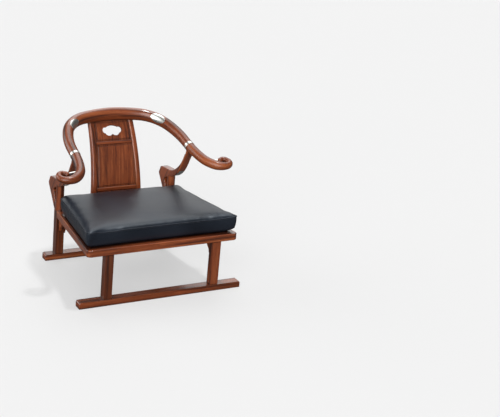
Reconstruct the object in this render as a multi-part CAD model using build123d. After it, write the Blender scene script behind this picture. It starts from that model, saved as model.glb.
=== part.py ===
"""Low horseshoe-back armchair on two floor runners, with goose-neck arm supports.

Millimetres. X is the chair's width, Y runs from the front to the back and Z is up.
Pieces are modelled with Y = 0 on the front runner's front face, and each one is moved
at the end so that the origin is the centre of the footprint box, on the floor.
"""
import os
from math import atan2, cos, degrees, hypot, radians, sin, sqrt

from build123d import *

# ---------------------------------------------------------------- driving sizes
# floor runners
front_runner_length = 800.0
back_runner_length = 708.0
runner_depth = 45.0
runner_height = 29.0
runner_end_round = 8.0
runner_edge_round = 2.0

# legs
front_leg_spread = 570.0      # over the legs' outer faces
front_leg_width = 40.0
front_leg_depth = 38.0
front_leg_setback = 5.0       # behind the runner's front face
back_leg_spread = 610.0
back_leg_width = 40.0
back_leg_depth = 38.0
back_leg_front = 545.0        # front faces of the back legs
leg_edge_round = 2.5
leg_tenon_width = 22.0
leg_tenon_depth = 16.0
leg_tenon_length = 18.0

# seat frame, a trapezoid that slopes down to the back
seat_front_face = 6.0
seat_front_height = 272.0
seat_back_height = 246.0      # at the back legs' front faces
seat_front_width = 744.0
seat_frame_thickness = 33.0
front_rail_width = 64.0
side_rail_width = 40.0
seat_corner_round = 20.0
seat_edge_round = 4.0
side_tenon_length = 8.0
back_tenon_length = 13.0
mitre_tenon_length = 26.0
mitre_tenon_width = 14.0
rail_tenon_thickness = 10.0
side_tenon_layer = 19.0       # below the seat plane
back_tenon_layer = 8.0
side_tenon_shift = 5.0        # of the side rail's tenon, out from the leg's middle

# seat panel and the two battens below it
panel_drop = 5.0
panel_thickness = 12.0
panel_tongue = 8.0
batten_centre = 249.0
batten_width = 28.0
batten_tenon_length = 10.0

# shaped brackets in the corners
bracket_thickness = 12.0
side_bracket_reach, side_bracket_drop = 72.0, 64.0
front_bracket_reach, front_bracket_drop = 72.0, 64.0
rear_bracket_reach, rear_bracket_drop = 84.0, 86.0
side_bracket_inset = 11.0
front_bracket_inset = 4.0
rear_bracket_inset = 12.0
bracket_toe = 11.0
bracket_lip = 5.0
bracket_cusp_reach = 0.38     # the cusp's place as shares of the reach and the drop
bracket_cusp_drop = 0.60
bracket_hollow = 4.0          # sag of the two hollow curves

# horseshoe rail: plan arcs of one half, from the middle of the crest to the scroll
rail_back = 686.5             # the crest's centre line
crest_radius, crest_turn = 600.0, 13.7
corner_radius, corner_turn = 165.0, 52.7
arm_radius, arm_turn = 370.0, 20.3
arm_straight = 52.0
flare_radius, flare_turn = 517.0, 11.8
hand_radius, hand_turn = 125.0, 35.4
knuckle_radius, knuckle_turn = 63.0, 49.3
scroll_radius, scroll_turn = 31.0, 36.7
volute_radius, volute_turn = 28.0, 87.7
eye_radius, eye_turn = 20.5, 104.0
rail_band_height = 572.0      # centre line above the goose-necks
rail_rise = 0.27              # slope of the rail at the goose-necks
rail_bow = 0.00012            # extra rise towards the crest
crest_half_height, crest_half_thickness = 32.0, 25.0
plate_half_height, plate_half_thickness = 28.0, 26.0
arm_half = 22.6
hand_half = 21.6
scroll_half = 15.5
eye_half = 11.6
eye_ball = 13.5
crest_pitch = 27.0            # between the sections that each length is lofted through
arm_pitch = 22.0
hand_pitch = 24.0
joint_pitch = 12.0
scroll_pitch = 9.0

# joints in the rail
scarf_place = 245.0           # along the rail from the middle of the crest
scarf_length = 64.0
scarf_peg = 8.0
plate_length = 74.0
plate_width = 42.0
plate_proud = 0.9
plate_inlay = 0.9
plate_zone = 104.0            # length of rail that the plate is shaped on
plate_turn = 32.0             # degrees up from the inner side of the rail
band_place = 478.0
band_width = 17.0
band_proud = 1.0
band_inlay = 1.0
spigot_half = 9.0
spigot_length = 26.0
scroll_pin_place = 605.0      # where the pin meets the hand-rest
scroll_pin_half = 6.5

# goose-neck arm supports
neck_width = 35.0
neck_place = 488.5            # along the rail
neck_heel_back = 668.0
neck_heel_height = 350.0
neck_heel_rise = 36.0
neck_heel_lean = 18.0
neck_heel_round = 10.0
neck_crook_round = 15.0
neck_foot_inset = 2.0
neck_crook_depth = 606.0
neck_crook_height = 338.0
neck_edge_round = 3.0
neck_tenon_half = 6.0
neck_tenon_length = 12.0
neck_foot_tenon_width = 12.0
neck_foot_tenon_depth = 14.0
neck_foot_tenon_length = 20.0
post_diameter = 38.0
post_centre = 559.0
post_sunk = 12.0              # top of the post's stock, below the goose-neck's heel
strip_thickness = 1.2
strip_margin = 5.0
upper_strip_low = 482.0
upper_strip_high = 537.0
lower_strip_front = 455.0
lower_strip_back = 496.0

# back splat, one arc from the seat plane to the crest
splat_foot_setback = 17.0     # centre line behind the back legs' front faces
splat_radius = 690.0
splat_seat_width = 260.0
splat_crest_width = 224.0
splat_stile_width = 26.0
splat_stile_thickness = 22.0
splat_stile_round = 7.0
splat_rail_thickness = 19.0
splat_panel_thickness = 6.0
splat_field_thickness = 12.0
splat_field_margin = 9.0
splat_tongue = 5.0
splat_middle_height = 537.0
splat_middle_width = 15.0
splat_bottom_height = 327.0
splat_bottom_width = 18.0
splat_tenon_length = 12.0
splat_tenon_side = 5.0
splat_tenon_thickness = 9.9
splat_stile_sunk = 8.0        # tops of the stiles' stock, above the crest's lower edge
splat_arch_height = 34.0
splat_arch_spring = 14.0      # height at which the arch begins
splat_arch_margin = 24.0

# cloud-shaped opening in the upper panel
cloud_width = 100.0
cloud_height = 50.0
cloud_centre = 588.0          # height above the floor

# seat cushion
cushion_front = 16.0
cushion_back = 523.0
cushion_front_width = 764.0
cushion_back_width = 628.0
cushion_thickness = 83.0
cushion_crown = 20.0
cushion_crown_inset = 46.0
cushion_corner = 17.0
cushion_under = 14.0          # height of the curved-under lower edge
cushion_tuck = 8.0

# clearances
tenon_gap = 0.5               # at the end of every tenon
soft_gap = 0.3                # under the cushion

# ---------------------------------------------------------------- worked-out sizes
seat_back_width = back_leg_spread
seat_slope = (seat_front_height - seat_back_height) / (back_leg_front - seat_front_face)
leg_inner_x = back_leg_spread / 2 - back_leg_width
leg_back_face = back_leg_front + back_leg_depth
side_taper = (seat_front_width - seat_back_width) / 2 / (back_leg_front - seat_front_face)
side_square = sqrt(1 + side_taper**2)
front_leg_x = front_leg_spread / 2 - front_leg_width / 2
back_leg_x = back_leg_spread / 2 - back_leg_width / 2
neck_x = back_leg_spread / 2 - neck_width / 2
far = 1500.0                  # longer than the chair, for cutting tools
splat_axis_y = back_leg_front + splat_foot_setback + splat_radius
splat_axis_z = seat_back_height


def seat_top(y):
    """Height of the seat plane at a depth."""
    return seat_front_height - seat_slope * (y - seat_front_face)


# ---------------------------------------------------------------- small helpers
def block(x0, x1, y0, y1, z0, z1):
    """A square block between two corners."""
    return Pos((x0 + x1) / 2, (y0 + y1) / 2, (z0 + z1) / 2) * Box(x1 - x0, y1 - y0, z1 - z0)


def prism(points, low=-far, high=far):
    """An upright prism on a plan outline of straight sides."""
    face = make_face(Polyline(*points, close=True))
    return Pos(0, 0, low) * extrude(face, amount=high - low)


def side_cut(lines, x0, x1):
    """A piece sawn from a side profile, drawn in (Y, Z), between two X places."""
    face = make_face(lines)
    return extrude(Plane.YZ.offset(x0) * face, amount=x1 - x0)


def front_cut(lines, y0, y1):
    """A piece sawn from a front profile, drawn in (X, Z), between two Y places."""
    face = make_face(lines)
    return extrude(Plane(origin=(0, y1, 0), x_dir=(1, 0, 0), z_dir=(0, -1, 0)) * face, amount=y1 - y0)


def seat_layer(top, bottom):
    """All space between two planes parallel to the seat, measured down from it."""
    y0, y1 = -100.0, back_leg_front + 300.0
    corners = [(y0, seat_top(y0) - top), (y1, seat_top(y1) - top)]
    corners += [(y1, seat_top(y1) - bottom), (y0, seat_top(y0) - bottom)]
    return side_cut(Polyline(*corners, close=True), -far, far)


def one(shape):
    """The largest solid of a shape, as a plain solid."""
    return max(shape.solids(), key=lambda solid: solid.volume)


def upright_edges(shape, low_length):
    """Vertical edges longer than a length."""
    return shape.edges().filter_by(Axis.Z).filter_by(lambda edge: edge.length > low_length)


pieces = {}


def pair(name, solid):
    """Keep a right-hand piece and its mirror image."""
    pieces[name + "_right"] = solid
    pieces[name + "_left"] = mirror(solid, about=Plane.YZ)


# ---------------------------------------------------------------- floor runners
def runner(length, y0):
    """A runner with its top end corners rounded."""
    h = length / 2
    r = runner_end_round
    body = block(-h, h, y0, y0 + runner_depth, 0, runner_height)
    ends = body.edges().filter_by(Axis.Y).filter_by(lambda edge: edge.center().Z > r)
    body = fillet(ends, r)
    top = body.edges().filter_by(Axis.X).filter_by(lambda edge: edge.center().Z > r)
    return fillet(top, runner_edge_round)


def leg_tenon(x, y, gap=0.0):
    """The tenon under a leg, or its mortise when a gap is given."""
    w = leg_tenon_width / 2
    d = leg_tenon_depth / 2
    return block(x - w, x + w, y - d, y + d, runner_height - leg_tenon_length - gap, runner_height)


front_leg_y = front_leg_setback + front_leg_depth / 2
back_leg_y = back_leg_front + back_leg_depth / 2
front_runner = runner(front_runner_length, 0.0)
back_runner = runner(back_runner_length, back_leg_y - runner_depth / 2)
for side in (-1, 1):
    front_runner -= leg_tenon(side * front_leg_x, front_leg_y, tenon_gap)
    back_runner -= leg_tenon(side * back_leg_x, back_leg_y, tenon_gap)
pieces["front_runner"] = front_runner
pieces["back_runner"] = back_runner


# ---------------------------------------------------------------- legs
def leg(x, y, width, depth, top):
    """A square leg with softened edges and a tenon at its foot."""
    body = block(x - width / 2, x + width / 2, y - depth / 2, y + depth / 2, runner_height, top)
    body = fillet(upright_edges(body, 50), leg_edge_round)
    return body + leg_tenon(x, y)


def front_leg_head(gap):
    """Tenon from the front leg up into the front rail."""
    bar = block(front_leg_x - leg_tenon_width / 2, front_leg_x + leg_tenon_width / 2,
                front_leg_y - leg_tenon_depth / 2, front_leg_y + leg_tenon_depth / 2, -far, far)
    return bar & seat_layer(seat_frame_thickness - leg_tenon_length - gap, seat_frame_thickness)


under_rail = seat_layer(seat_frame_thickness, far)
front_leg = leg(front_leg_x, front_leg_y, front_leg_width, front_leg_depth, seat_front_height)
front_leg = (front_leg & under_rail) + front_leg_head(0.0)
back_leg = leg(back_leg_x, back_leg_y, back_leg_width, back_leg_depth, seat_back_height)

# ---------------------------------------------------------------- seat frame
outer_front = seat_front_width / 2
outer_back = seat_back_width / 2
outline = make_face(Polyline(
    (-outer_front, seat_front_face), (outer_front, seat_front_face),
    (outer_back, back_leg_front), (-outer_back, back_leg_front), close=True))
front_corners = outline.vertices().filter_by(lambda point: point.Y < seat_front_face + 1)
outline = fillet(front_corners, seat_corner_round)
slab = Pos(0, 0, -far) * extrude(outline, amount=2 * far) & seat_layer(0, seat_frame_thickness)


def on_outside(edge):
    """True for the long outer edges at the top and bottom of the seat frame."""
    centre = edge.center()
    return edge.length > 5 and centre.Y < back_leg_front - 5 and abs(edge.tangent_at(0.5).Z) < 0.5


slab = fillet(slab.edges().filter_by(on_outside), seat_edge_round)


def inner_x(y, extra=0.0):
    """Inner edge of the side rail at a depth; extra reaches further out."""
    outer = outer_front - side_taper * (y - seat_front_face)
    return outer - side_rail_width * side_square + extra * side_square


def well(extra, low=-far, high=far):
    """The space inside the seat frame, widened by extra."""
    y0 = seat_front_face + front_rail_width - extra
    y1 = back_leg_front + extra
    return prism([(-inner_x(y0, extra), y0), (inner_x(y0, extra), y0),
                  (inner_x(y1, extra), y1), (-inner_x(y1, extra), y1)], low, high)


mitre_y = seat_front_face + front_rail_width
mitre_x = inner_x(mitre_y)
mitre_run = outer_front - mitre_x
ring = slab - well(0.0)
reach = 3.0
outside = (outer_front + reach * mitre_run, seat_front_face - reach * front_rail_width)
front_region = prism([(-mitre_x, mitre_y), (mitre_x, mitre_y), outside, (-outside[0], outside[1])])
side_region = prism([(mitre_x, mitre_y), (inner_x(back_leg_front), back_leg_front),
                     (outer_front + 200, back_leg_front), outside])
seat_front_rail = ring & front_region
seat_side_rail = ring & side_region

# tenon of the side rail across the mitre
tenon_low = seat_frame_thickness / 2 + rail_tenon_thickness / 2
tenon_high = seat_frame_thickness / 2 - rail_tenon_thickness / 2
tenon_x = mitre_x + mitre_run / 2 - mitre_tenon_width / 2
mitre_at_tenon = mitre_y - front_rail_width / 2


def mitre_tenon(gap):
    """Tenon from the side rail into the front rail."""
    bar = block(tenon_x, tenon_x + mitre_tenon_width,
                mitre_at_tenon - mitre_tenon_length / 2 - gap, mitre_at_tenon + mitre_tenon_length,
                -far, far)
    return bar & front_region & seat_layer(tenon_high, tenon_low)


seat_side_rail = seat_side_rail + mitre_tenon(0.0)
seat_front_rail = seat_front_rail - mitre_tenon(tenon_gap) - mirror(mitre_tenon(tenon_gap), about=Plane.YZ)


def side_leg_tenon(gap):
    """Tenon from the side rail's back end into the front face of the back leg."""
    middle = back_leg_x + side_tenon_shift
    bar = block(middle - mitre_tenon_width / 2, middle + mitre_tenon_width / 2,
                back_leg_front, back_leg_front + side_tenon_length + gap, -far, far)
    return bar & seat_layer(side_tenon_layer, side_tenon_layer + rail_tenon_thickness)


def back_rail_tenon(gap):
    """Tenon from the back rail into the inner face of the back leg."""
    bar = block(leg_inner_x, leg_inner_x + back_tenon_length + gap,
                back_leg_y - leg_tenon_depth / 2, back_leg_y + leg_tenon_depth / 2, -far, far)
    return bar & seat_layer(back_tenon_layer, back_tenon_layer + rail_tenon_thickness)


seat_side_rail = seat_side_rail + side_leg_tenon(0.0)
seat_back_rail = block(-leg_inner_x, leg_inner_x, back_leg_front, leg_back_face, -far, far)
seat_back_rail = seat_back_rail & seat_layer(0, seat_frame_thickness)
seat_back_rail += back_rail_tenon(0.0) + mirror(back_rail_tenon(0.0), about=Plane.YZ)
back_leg = back_leg - side_leg_tenon(tenon_gap) - back_rail_tenon(tenon_gap)

# floating panel in its groove
panel_layer = seat_layer(panel_drop, panel_drop + panel_thickness)
seat_panel = well(panel_tongue - tenon_gap) & panel_layer
groove = well(panel_tongue) & panel_layer
seat_front_rail -= groove
seat_side_rail -= groove
seat_back_rail -= groove
before_legs = block(-far, far, -far, back_leg_front, -far, far)
between_legs = block(-leg_inner_x, leg_inner_x, back_leg_front, far, -far, far)
seat_panel = (seat_panel & before_legs) + (seat_panel & between_legs)

# battens under the panel
batten_layer = seat_layer(panel_drop + panel_thickness, seat_frame_thickness)
batten_mid = panel_drop + panel_thickness + (seat_frame_thickness - panel_drop - panel_thickness) / 2
batten_tongue_layer = seat_layer(batten_mid - rail_tenon_thickness / 2, batten_mid + rail_tenon_thickness / 2)


def batten_bar(width, extra):
    """A front-to-back bar under the panel, longer than the seat well by extra."""
    return block(batten_centre - width / 2, batten_centre + width / 2,
                 mitre_y - extra, back_leg_front + extra, -far, far)


seat_batten = batten_bar(batten_width, 0.0) & batten_layer
seat_batten += batten_bar(mitre_tenon_width, batten_tenon_length) & batten_tongue_layer
batten_socket = batten_bar(mitre_tenon_width, batten_tenon_length + tenon_gap) & batten_tongue_layer
for tool in (batten_socket, mirror(batten_socket, about=Plane.YZ)):
    seat_front_rail -= tool
    seat_back_rail -= tool
front_leg_socket = front_leg_head(tenon_gap)
seat_front_rail = seat_front_rail - front_leg_socket - mirror(front_leg_socket, about=Plane.YZ)
pair("seat_side_rail", seat_side_rail)
pair("seat_batten", seat_batten)
pieces["seat_panel"] = seat_panel


# ---------------------------------------------------------------- corner brackets
def bracket_outline(reach, drop, place):
    """A bracket's outline; place takes a run from the leg and a height from the rail."""
    cusp = (reach * bracket_cusp_reach, -drop * bracket_cusp_drop)
    toe = (bracket_toe, -drop)
    tip = (reach, -bracket_lip)
    lower = ((toe[0] + cusp[0]) / 2 - bracket_hollow, (toe[1] + cusp[1]) / 2 + bracket_hollow)
    upper = ((cusp[0] + tip[0]) / 2 - bracket_hollow, (cusp[1] + tip[1]) / 2 + bracket_hollow)
    above = bracket_lip       # drawn this much too high, then trimmed to the sloping rail
    lines = Polyline(place(*tip), place(reach, above), place(0, above), place(0, -drop), place(*toe))
    lines += ThreePointArc(place(*toe), place(*lower), place(*cusp))
    return lines + ThreePointArc(place(*cusp), place(*upper), place(*tip))


def side_bracket_point(run, height):
    """From the back leg's front face forwards."""
    y = back_leg_front - run
    return (y, seat_top(y) - seat_frame_thickness + height)


def front_bracket_point(run, height):
    """From the front leg's rear face backwards."""
    y = front_leg_setback + front_leg_depth + run
    return (y, seat_top(y) - seat_frame_thickness + height)


def rear_bracket_point(run, height):
    """From the back leg's inner face towards the middle."""
    return (leg_inner_x - run, seat_top(leg_back_face) - seat_frame_thickness + height)


side_face = back_leg_spread / 2 - side_bracket_inset
front_face = front_leg_x - front_leg_width / 2 + front_bracket_inset + bracket_thickness
rear_face = leg_back_face - rear_bracket_inset
side_bracket = side_cut(bracket_outline(side_bracket_reach, side_bracket_drop, side_bracket_point),
                        side_face - bracket_thickness, side_face)
front_bracket = side_cut(bracket_outline(front_bracket_reach, front_bracket_drop, front_bracket_point),
                         front_face - bracket_thickness, front_face)
rear_bracket = front_cut(bracket_outline(rear_bracket_reach, rear_bracket_drop, rear_bracket_point),
                         rear_face - bracket_thickness, rear_face)
pair("side_bracket", side_bracket & under_rail)
pair("front_bracket", front_bracket & under_rail)
pair("rear_bracket", rear_bracket & under_rail)

# ---------------------------------------------------------------- horseshoe rail
rail_arcs = [
    (crest_radius, crest_turn), (corner_radius, corner_turn), (arm_radius, arm_turn),
    (None, arm_straight),
    (flare_radius, -flare_turn), (hand_radius, -hand_turn), (knuckle_radius, -knuckle_turn),
    (scroll_radius, -scroll_turn), (volute_radius, -volute_turn), (eye_radius, -eye_turn)]


def arc_length(radius, turn):
    """Length of one stretch of the rail's plan."""
    return turn if radius is None else radius * radians(abs(turn))


rail_end = sum(arc_length(radius, turn) for radius, turn in rail_arcs)
hand_end = sum(arc_length(radius, turn) for radius, turn in rail_arcs[:6])
scroll_start = sum(arc_length(radius, turn) for radius, turn in rail_arcs[:8])


def plan_place(s):
    """Plan position and heading (degrees right of +X) at a distance along the right half."""
    x, y, heading = 0.0, rail_back, 0.0
    for radius, turn in rail_arcs:
        length = arc_length(radius, turn)
        part = min(s, length)
        if radius is None:
            x += part * cos(radians(heading))
            y -= part * sin(radians(heading))
        else:
            bend = turn * part / length
            chord = 2 * radius * sin(radians(abs(bend) / 2))
            x += chord * cos(radians(heading + bend / 2))
            y -= chord * sin(radians(heading + bend / 2))
            heading += bend
        s -= part
        if s <= 0:
            break
    return x, y, heading


band_y = plan_place(band_place)[1]


def rail_height(y):
    """Height of the rail's centre line at a depth, and its slope there."""
    back = y - band_y
    return rail_band_height + rail_rise * back + rail_bow * back**2, rail_rise + 2 * rail_bow * back


def rail_place(s):
    """Centre, direction and upward normal of the rail; negative s is the left half."""
    hand = -1 if s < 0 else 1
    x, y, heading = plan_place(abs(s))
    z, slope = rail_height(y)
    run = -sin(radians(heading)) * hand
    ahead = Vector(cos(radians(heading)), run, slope * run).normalized()
    inwards = Vector(ahead.Y, -ahead.X, 0).normalized()
    return Vector(hand * x, y, z), ahead, inwards, inwards.cross(ahead)


rail_sizes = [
    (0.0, crest_half_height, crest_half_thickness),
    (scarf_place, plate_half_height, plate_half_thickness),
    (band_place, arm_half + 0.2, arm_half),
    (hand_end, hand_half + 0.2, hand_half),
    (scroll_start, scroll_half + 0.2, scroll_half),
    (rail_end, eye_half + 0.2, eye_half)]


def rail_section(s, grow=0.0):
    """The rail's oval section at a distance along it."""
    place = abs(s)
    half_height, half_thickness = rail_sizes[-1][1:]
    for (s0, h0, t0), (s1, h1, t1) in zip(rail_sizes, rail_sizes[1:]):
        if place <= s1:
            share = (place - s0) / (s1 - s0)
            half_height = h0 + (h1 - h0) * share
            half_thickness = t0 + (t1 - t0) * share
            break
    centre, ahead, _, up = rail_place(s)
    return Plane(origin=centre, x_dir=up, z_dir=ahead) * Ellipse(half_height + grow, half_thickness + grow)


def rail_length(start, end, pitch, grow=0.0):
    """A length of rail, lofted through sections at about the given pitch."""
    count = max(2, round((end - start) / pitch))
    return loft([rail_section(start + (end - start) * i / count, grow) for i in range(count + 1)])


def rail_frame(s, turn=0.0):
    """A plane on the rail's centre line that looks inwards, turned up by some degrees."""
    centre, ahead, inwards, up = rail_place(s)
    outwards = inwards * cos(radians(turn)) + up * sin(radians(turn))
    return Plane(origin=centre, x_dir=ahead, z_dir=outwards)


scarf_start = scarf_place - scarf_length / 2
scarf_stop = scarf_place + scarf_length / 2
lap_spare = scarf_length / 4
crest = rail_length(-scarf_stop - lap_spare, scarf_stop + lap_spare, crest_pitch)
arm = rail_length(scarf_start - lap_spare, band_place, arm_pitch)
hand_low = rail_length(band_place, hand_end, hand_pitch)
hand_high = rail_length(hand_end, rail_end, scroll_pitch)
eye_centre = rail_place(rail_end)[0]
eye_plane = Plane(origin=eye_centre, x_dir=rail_place(rail_end)[1], z_dir=rail_place(rail_end)[3])
hand = hand_low + (hand_high + eye_plane * Sphere(eye_ball))

# the scarf: the crest keeps the upper half, the arm the lower half
centre, ahead, inwards, up = rail_place(scarf_place)
lap = Plane(origin=centre, x_dir=ahead, z_dir=up)
big = 4 * crest_half_height
lower_half = lap * Pos(big / 2 - scarf_length / 2, 0, -big / 2) * Box(big, big, big)
upper_half = lap * Pos(scarf_length / 2 - big / 2, 0, big / 2) * Box(big, big, big)
beyond = lap * Pos(scarf_length / 2 + big / 2, 0, 0) * Box(big, big, big)
before = lap * Pos(-scarf_length / 2 - big / 2, 0, 0) * Box(big, big, big)
for tool in (lower_half, beyond):
    crest = crest - tool - mirror(tool, about=Plane.YZ)
arm = arm - upper_half - before

# oval metal plate let into both sides of the scarf, and the peg behind it
plate_plane = rail_frame(scarf_place, plate_turn)
plate_prism = plate_plane * extrude(Ellipse(plate_length / 2, plate_width / 2), amount=2 * crest_half_height)
zone = (scarf_place - plate_zone / 2, scarf_place + plate_zone / 2)
bare_zone = rail_length(*zone, joint_pitch)
inlay_zone = rail_length(*zone, joint_pitch, -plate_inlay)
plate = one((rail_length(*zone, joint_pitch, plate_proud) - inlay_zone) & plate_prism)
peg_bar = plate_plane * Box(scarf_peg, scarf_peg, 4 * crest_half_height)
peg = one((peg_bar & bare_zone) - plate_prism.intersect(bare_zone - inlay_zone))
arm = arm - plate - peg
crest = crest - plate - peg - mirror(plate, about=Plane.YZ) - mirror(peg, about=Plane.YZ)

# the hand-rest's spigot in the end of the arm, and the metal ring over the joint
joint_plane = Plane(origin=rail_place(band_place)[0], x_dir=rail_place(band_place)[3],
                    z_dir=rail_place(band_place)[1] * -1)
hand = hand + joint_plane * extrude(Circle(spigot_half), amount=spigot_length)
arm = arm - joint_plane * extrude(Circle(spigot_half), amount=spigot_length + tenon_gap)
ring_plane = joint_plane * Pos(0, 0, -band_width / 2)
seat_half = arm_half - band_inlay
ring_solid = extrude(Circle(arm_half + band_proud) - Circle(seat_half), amount=band_width)
ring_space = extrude(Circle(2 * arm_half) - Circle(seat_half), amount=band_width)
band = ring_plane * ring_solid
arm = arm - ring_plane * ring_space
hand = hand - ring_plane * ring_space

# ---------------------------------------------------------------- goose-necks
neck_head = rail_place(neck_place)[0]
heel_top = (neck_heel_back - neck_heel_lean, neck_heel_height + neck_heel_rise)
neck_run = neck_head.Y - heel_top[0]
neck_rise = neck_head.Z - heel_top[1]
neck_back_curve = [(0.27, 0.065), (0.46, 0.11), (0.64, 0.26), (0.80, 0.48), (0.92, 0.77), (0.98, 1.0)]
neck_front_curve = [(1.045, 1.0), (1.0, 0.81), (0.94, 0.665), (0.845, 0.42), (0.72, 0.185),
                    (0.60, 0.045), (0.45, -0.06)]
crook = (neck_crook_depth, neck_crook_height)


def neck_point(run_share, rise_share):
    """A point of the neck's curves, as shares of its run and rise from the heel."""
    return (heel_top[0] + run_share * neck_run, heel_top[1] + rise_share * neck_rise)


def neck_profile():
    """Side face of the goose-neck: foot, leaning stile, heel, S-curve and head."""
    foot_back = (leg_back_face, seat_back_height)
    foot_front = (back_leg_front + neck_foot_inset, seat_back_height)
    heel = (neck_heel_back, neck_heel_height)
    top_points = [heel_top] + [neck_point(*share) for share in neck_back_curve]
    under_points = [neck_point(*share) for share in neck_front_curve] + [crook]
    lines = Polyline(foot_front, foot_back, heel, heel_top)
    lines += Spline(*top_points, tangents=[(neck_run, neck_rise * 0.55), (-0.1 * neck_rise, neck_rise * 0.5)])
    lines += Line(top_points[-1], under_points[0])
    lines += Spline(*under_points, tangents=[(0.1 * neck_rise, -neck_rise * 0.5), (-neck_run, -neck_rise)])
    lines += Line(crook, foot_front)
    face = make_face(lines)
    for place, radius in ((heel, neck_heel_round), (heel_top, neck_heel_round - 1), (crook, neck_crook_round)):
        corner = face.vertices().sort_by_distance((place[0], place[1], 0))[0]
        face = fillet([corner], radius)
    return face


neck_face = neck_profile()
neck_blank = extrude(Plane.YZ.offset(neck_x - neck_width / 2) * neck_face, amount=neck_width)
rail_zone = rail_length(band_place - 30, neck_place + 60, joint_pitch)


def on_long_edge(edge):
    """True for the neck's outline edges between its foot and its head."""
    centre = edge.center()
    on_side = abs(abs(centre.X - neck_x) - neck_width / 2) < 0.01
    return on_side and seat_back_height + 1 < centre.Z < neck_head.Z - 3 and edge.length > 5


neck_rounded = fillet(neck_blank.edges().filter_by(on_long_edge), neck_edge_round)
neck_body = one(neck_rounded - hand - arm - ring_plane * ring_space)


def neck_head_tenon(gap):
    """Round tenon from the neck up into the hand-rest."""
    low = neck_head.Z - 2 * arm_half
    high = neck_head.Z + neck_tenon_length
    return Pos(neck_x, neck_head.Y, low) * Cylinder(
        neck_tenon_half, high - low + gap, align=(Align.CENTER, Align.CENTER, Align.MIN))


def neck_foot_tenon(gap):
    """Square tenon from the neck down into the back leg."""
    half = neck_foot_tenon_width / 2
    y = back_leg_front + neck_foot_inset + neck_foot_tenon_depth
    return block(neck_x - half, neck_x + half, y, y + neck_foot_tenon_depth,
                 seat_back_height - neck_foot_tenon_length - gap, seat_back_height)


goose_neck = neck_body + (neck_head_tenon(0.0) & rail_zone) + neck_foot_tenon(0.0)
hand = hand - neck_head_tenon(tenon_gap)
back_leg = back_leg - neck_foot_tenon(tenon_gap)

# short round post that carries the crook of the goose-neck
post_top = heel_top[1] - post_sunk
post = Pos(neck_x, post_centre, seat_back_height) * Cylinder(
    post_diameter / 2, post_top - seat_back_height, align=(Align.CENTER, Align.CENTER, Align.MIN))
post = one((post - neck_blank) & seat_layer(-far, 0))

# metal strips on the goose-neck's edges
strip_width = neck_width - 2 * strip_margin
strip_blank = extrude(Plane.YZ.offset(neck_x - strip_width / 2) * neck_face, amount=strip_width)


def strip(start, end, y0, y1, z0, z1):
    """A metal strip on the edge of the neck that lies left of the line from start to end."""
    run, rise = end[0] - start[0], end[1] - start[1]
    size = strip_thickness / hypot(run, rise)
    moved = Pos(0, rise * size, -run * size) * strip_blank
    return one((moved & block(0, back_leg_spread, y0, y1, z0, z1)) - neck_blank)


upper_strip = strip(neck_point(*neck_back_curve[3]), neck_point(*neck_back_curve[4]),
                    neck_head.Y, neck_head.Y + 90, upper_strip_low, upper_strip_high)
lower_strip = strip(neck_point(*neck_front_curve[4]), neck_point(*neck_front_curve[5]),
                    lower_strip_front, lower_strip_back, neck_heel_height, upper_strip_low)
pair("neck_upper_strip", upper_strip)
pair("neck_lower_strip", lower_strip)
pair("goose_neck", goose_neck)
pair("arm_post", post)
pair("back_leg", back_leg)
pair("front_leg", front_leg)
pair("arm_rail", arm)
pair("scarf_plate", plate)
pair("scarf_peg", peg)
pair("arm_band", band)

# small metal pin that ties the scroll's eye back to the hand-rest
pin_root = rail_place(scroll_pin_place)[0]
pin_run = pin_root - eye_centre
pin_plane = Plane(origin=eye_centre, z_dir=pin_run)
scroll_pin = pin_plane * extrude(Circle(scroll_pin_half), amount=pin_run.length)
scroll_pin = one(scroll_pin - hand)
pair("scroll_pin", scroll_pin)
pair("hand_rest", hand)


# ---------------------------------------------------------------- back splat
def splat_point(radius, angle):
    """A point of the splat's side view, from its axis behind the chair."""
    return (splat_axis_y - radius * cos(radians(angle)), splat_axis_z + radius * sin(radians(angle)))


def splat_angle(height):
    """Angle of the splat's centre line at a height."""
    rise = (height - splat_axis_z) / splat_radius
    return degrees(atan2(rise, sqrt(1 - rise**2)))


def splat_slice(thickness, low, high, width=far, shift=0.0):
    """A curved board between two angles, centred in the splat's thickness."""
    inner = splat_radius - thickness / 2 + shift
    outer = splat_radius + thickness / 2 + shift
    middle = (low + high) / 2
    lines = ThreePointArc(splat_point(inner, low), splat_point(inner, middle), splat_point(inner, high))
    lines += Line(splat_point(inner, high), splat_point(outer, high))
    lines += ThreePointArc(splat_point(outer, high), splat_point(outer, middle), splat_point(outer, low))
    lines += Line(splat_point(outer, low), splat_point(inner, low))
    return side_cut(lines, -width / 2, width / 2)


splat_top = rail_band_height + 200
crest_centre_z = rail_place(0)[0].Z
taper_per_mm = (splat_seat_width - splat_crest_width) / 2 / (crest_centre_z - splat_axis_z)


def splat_half(z, inset=0.0):
    """Half-width of the splat at a height."""
    return splat_seat_width / 2 - taper_per_mm * (z - splat_axis_z) - inset


def splat_front(outer_inset, inner_inset=None, low=0.0):
    """Front outline as an upright prism: full width, or one right-hand strip."""
    z0, z1 = low, splat_top
    if inner_inset is None:
        points = [(-splat_half(z0, outer_inset), z0), (splat_half(z0, outer_inset), z0),
                  (splat_half(z1, outer_inset), z1), (-splat_half(z1, outer_inset), z1)]
    else:
        points = [(splat_half(z0, inner_inset), z0), (splat_half(z0, outer_inset), z0),
                  (splat_half(z1, outer_inset), z1), (splat_half(z1, inner_inset), z1)]
    return front_cut(Polyline(*points, close=True), 0, far)


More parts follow.
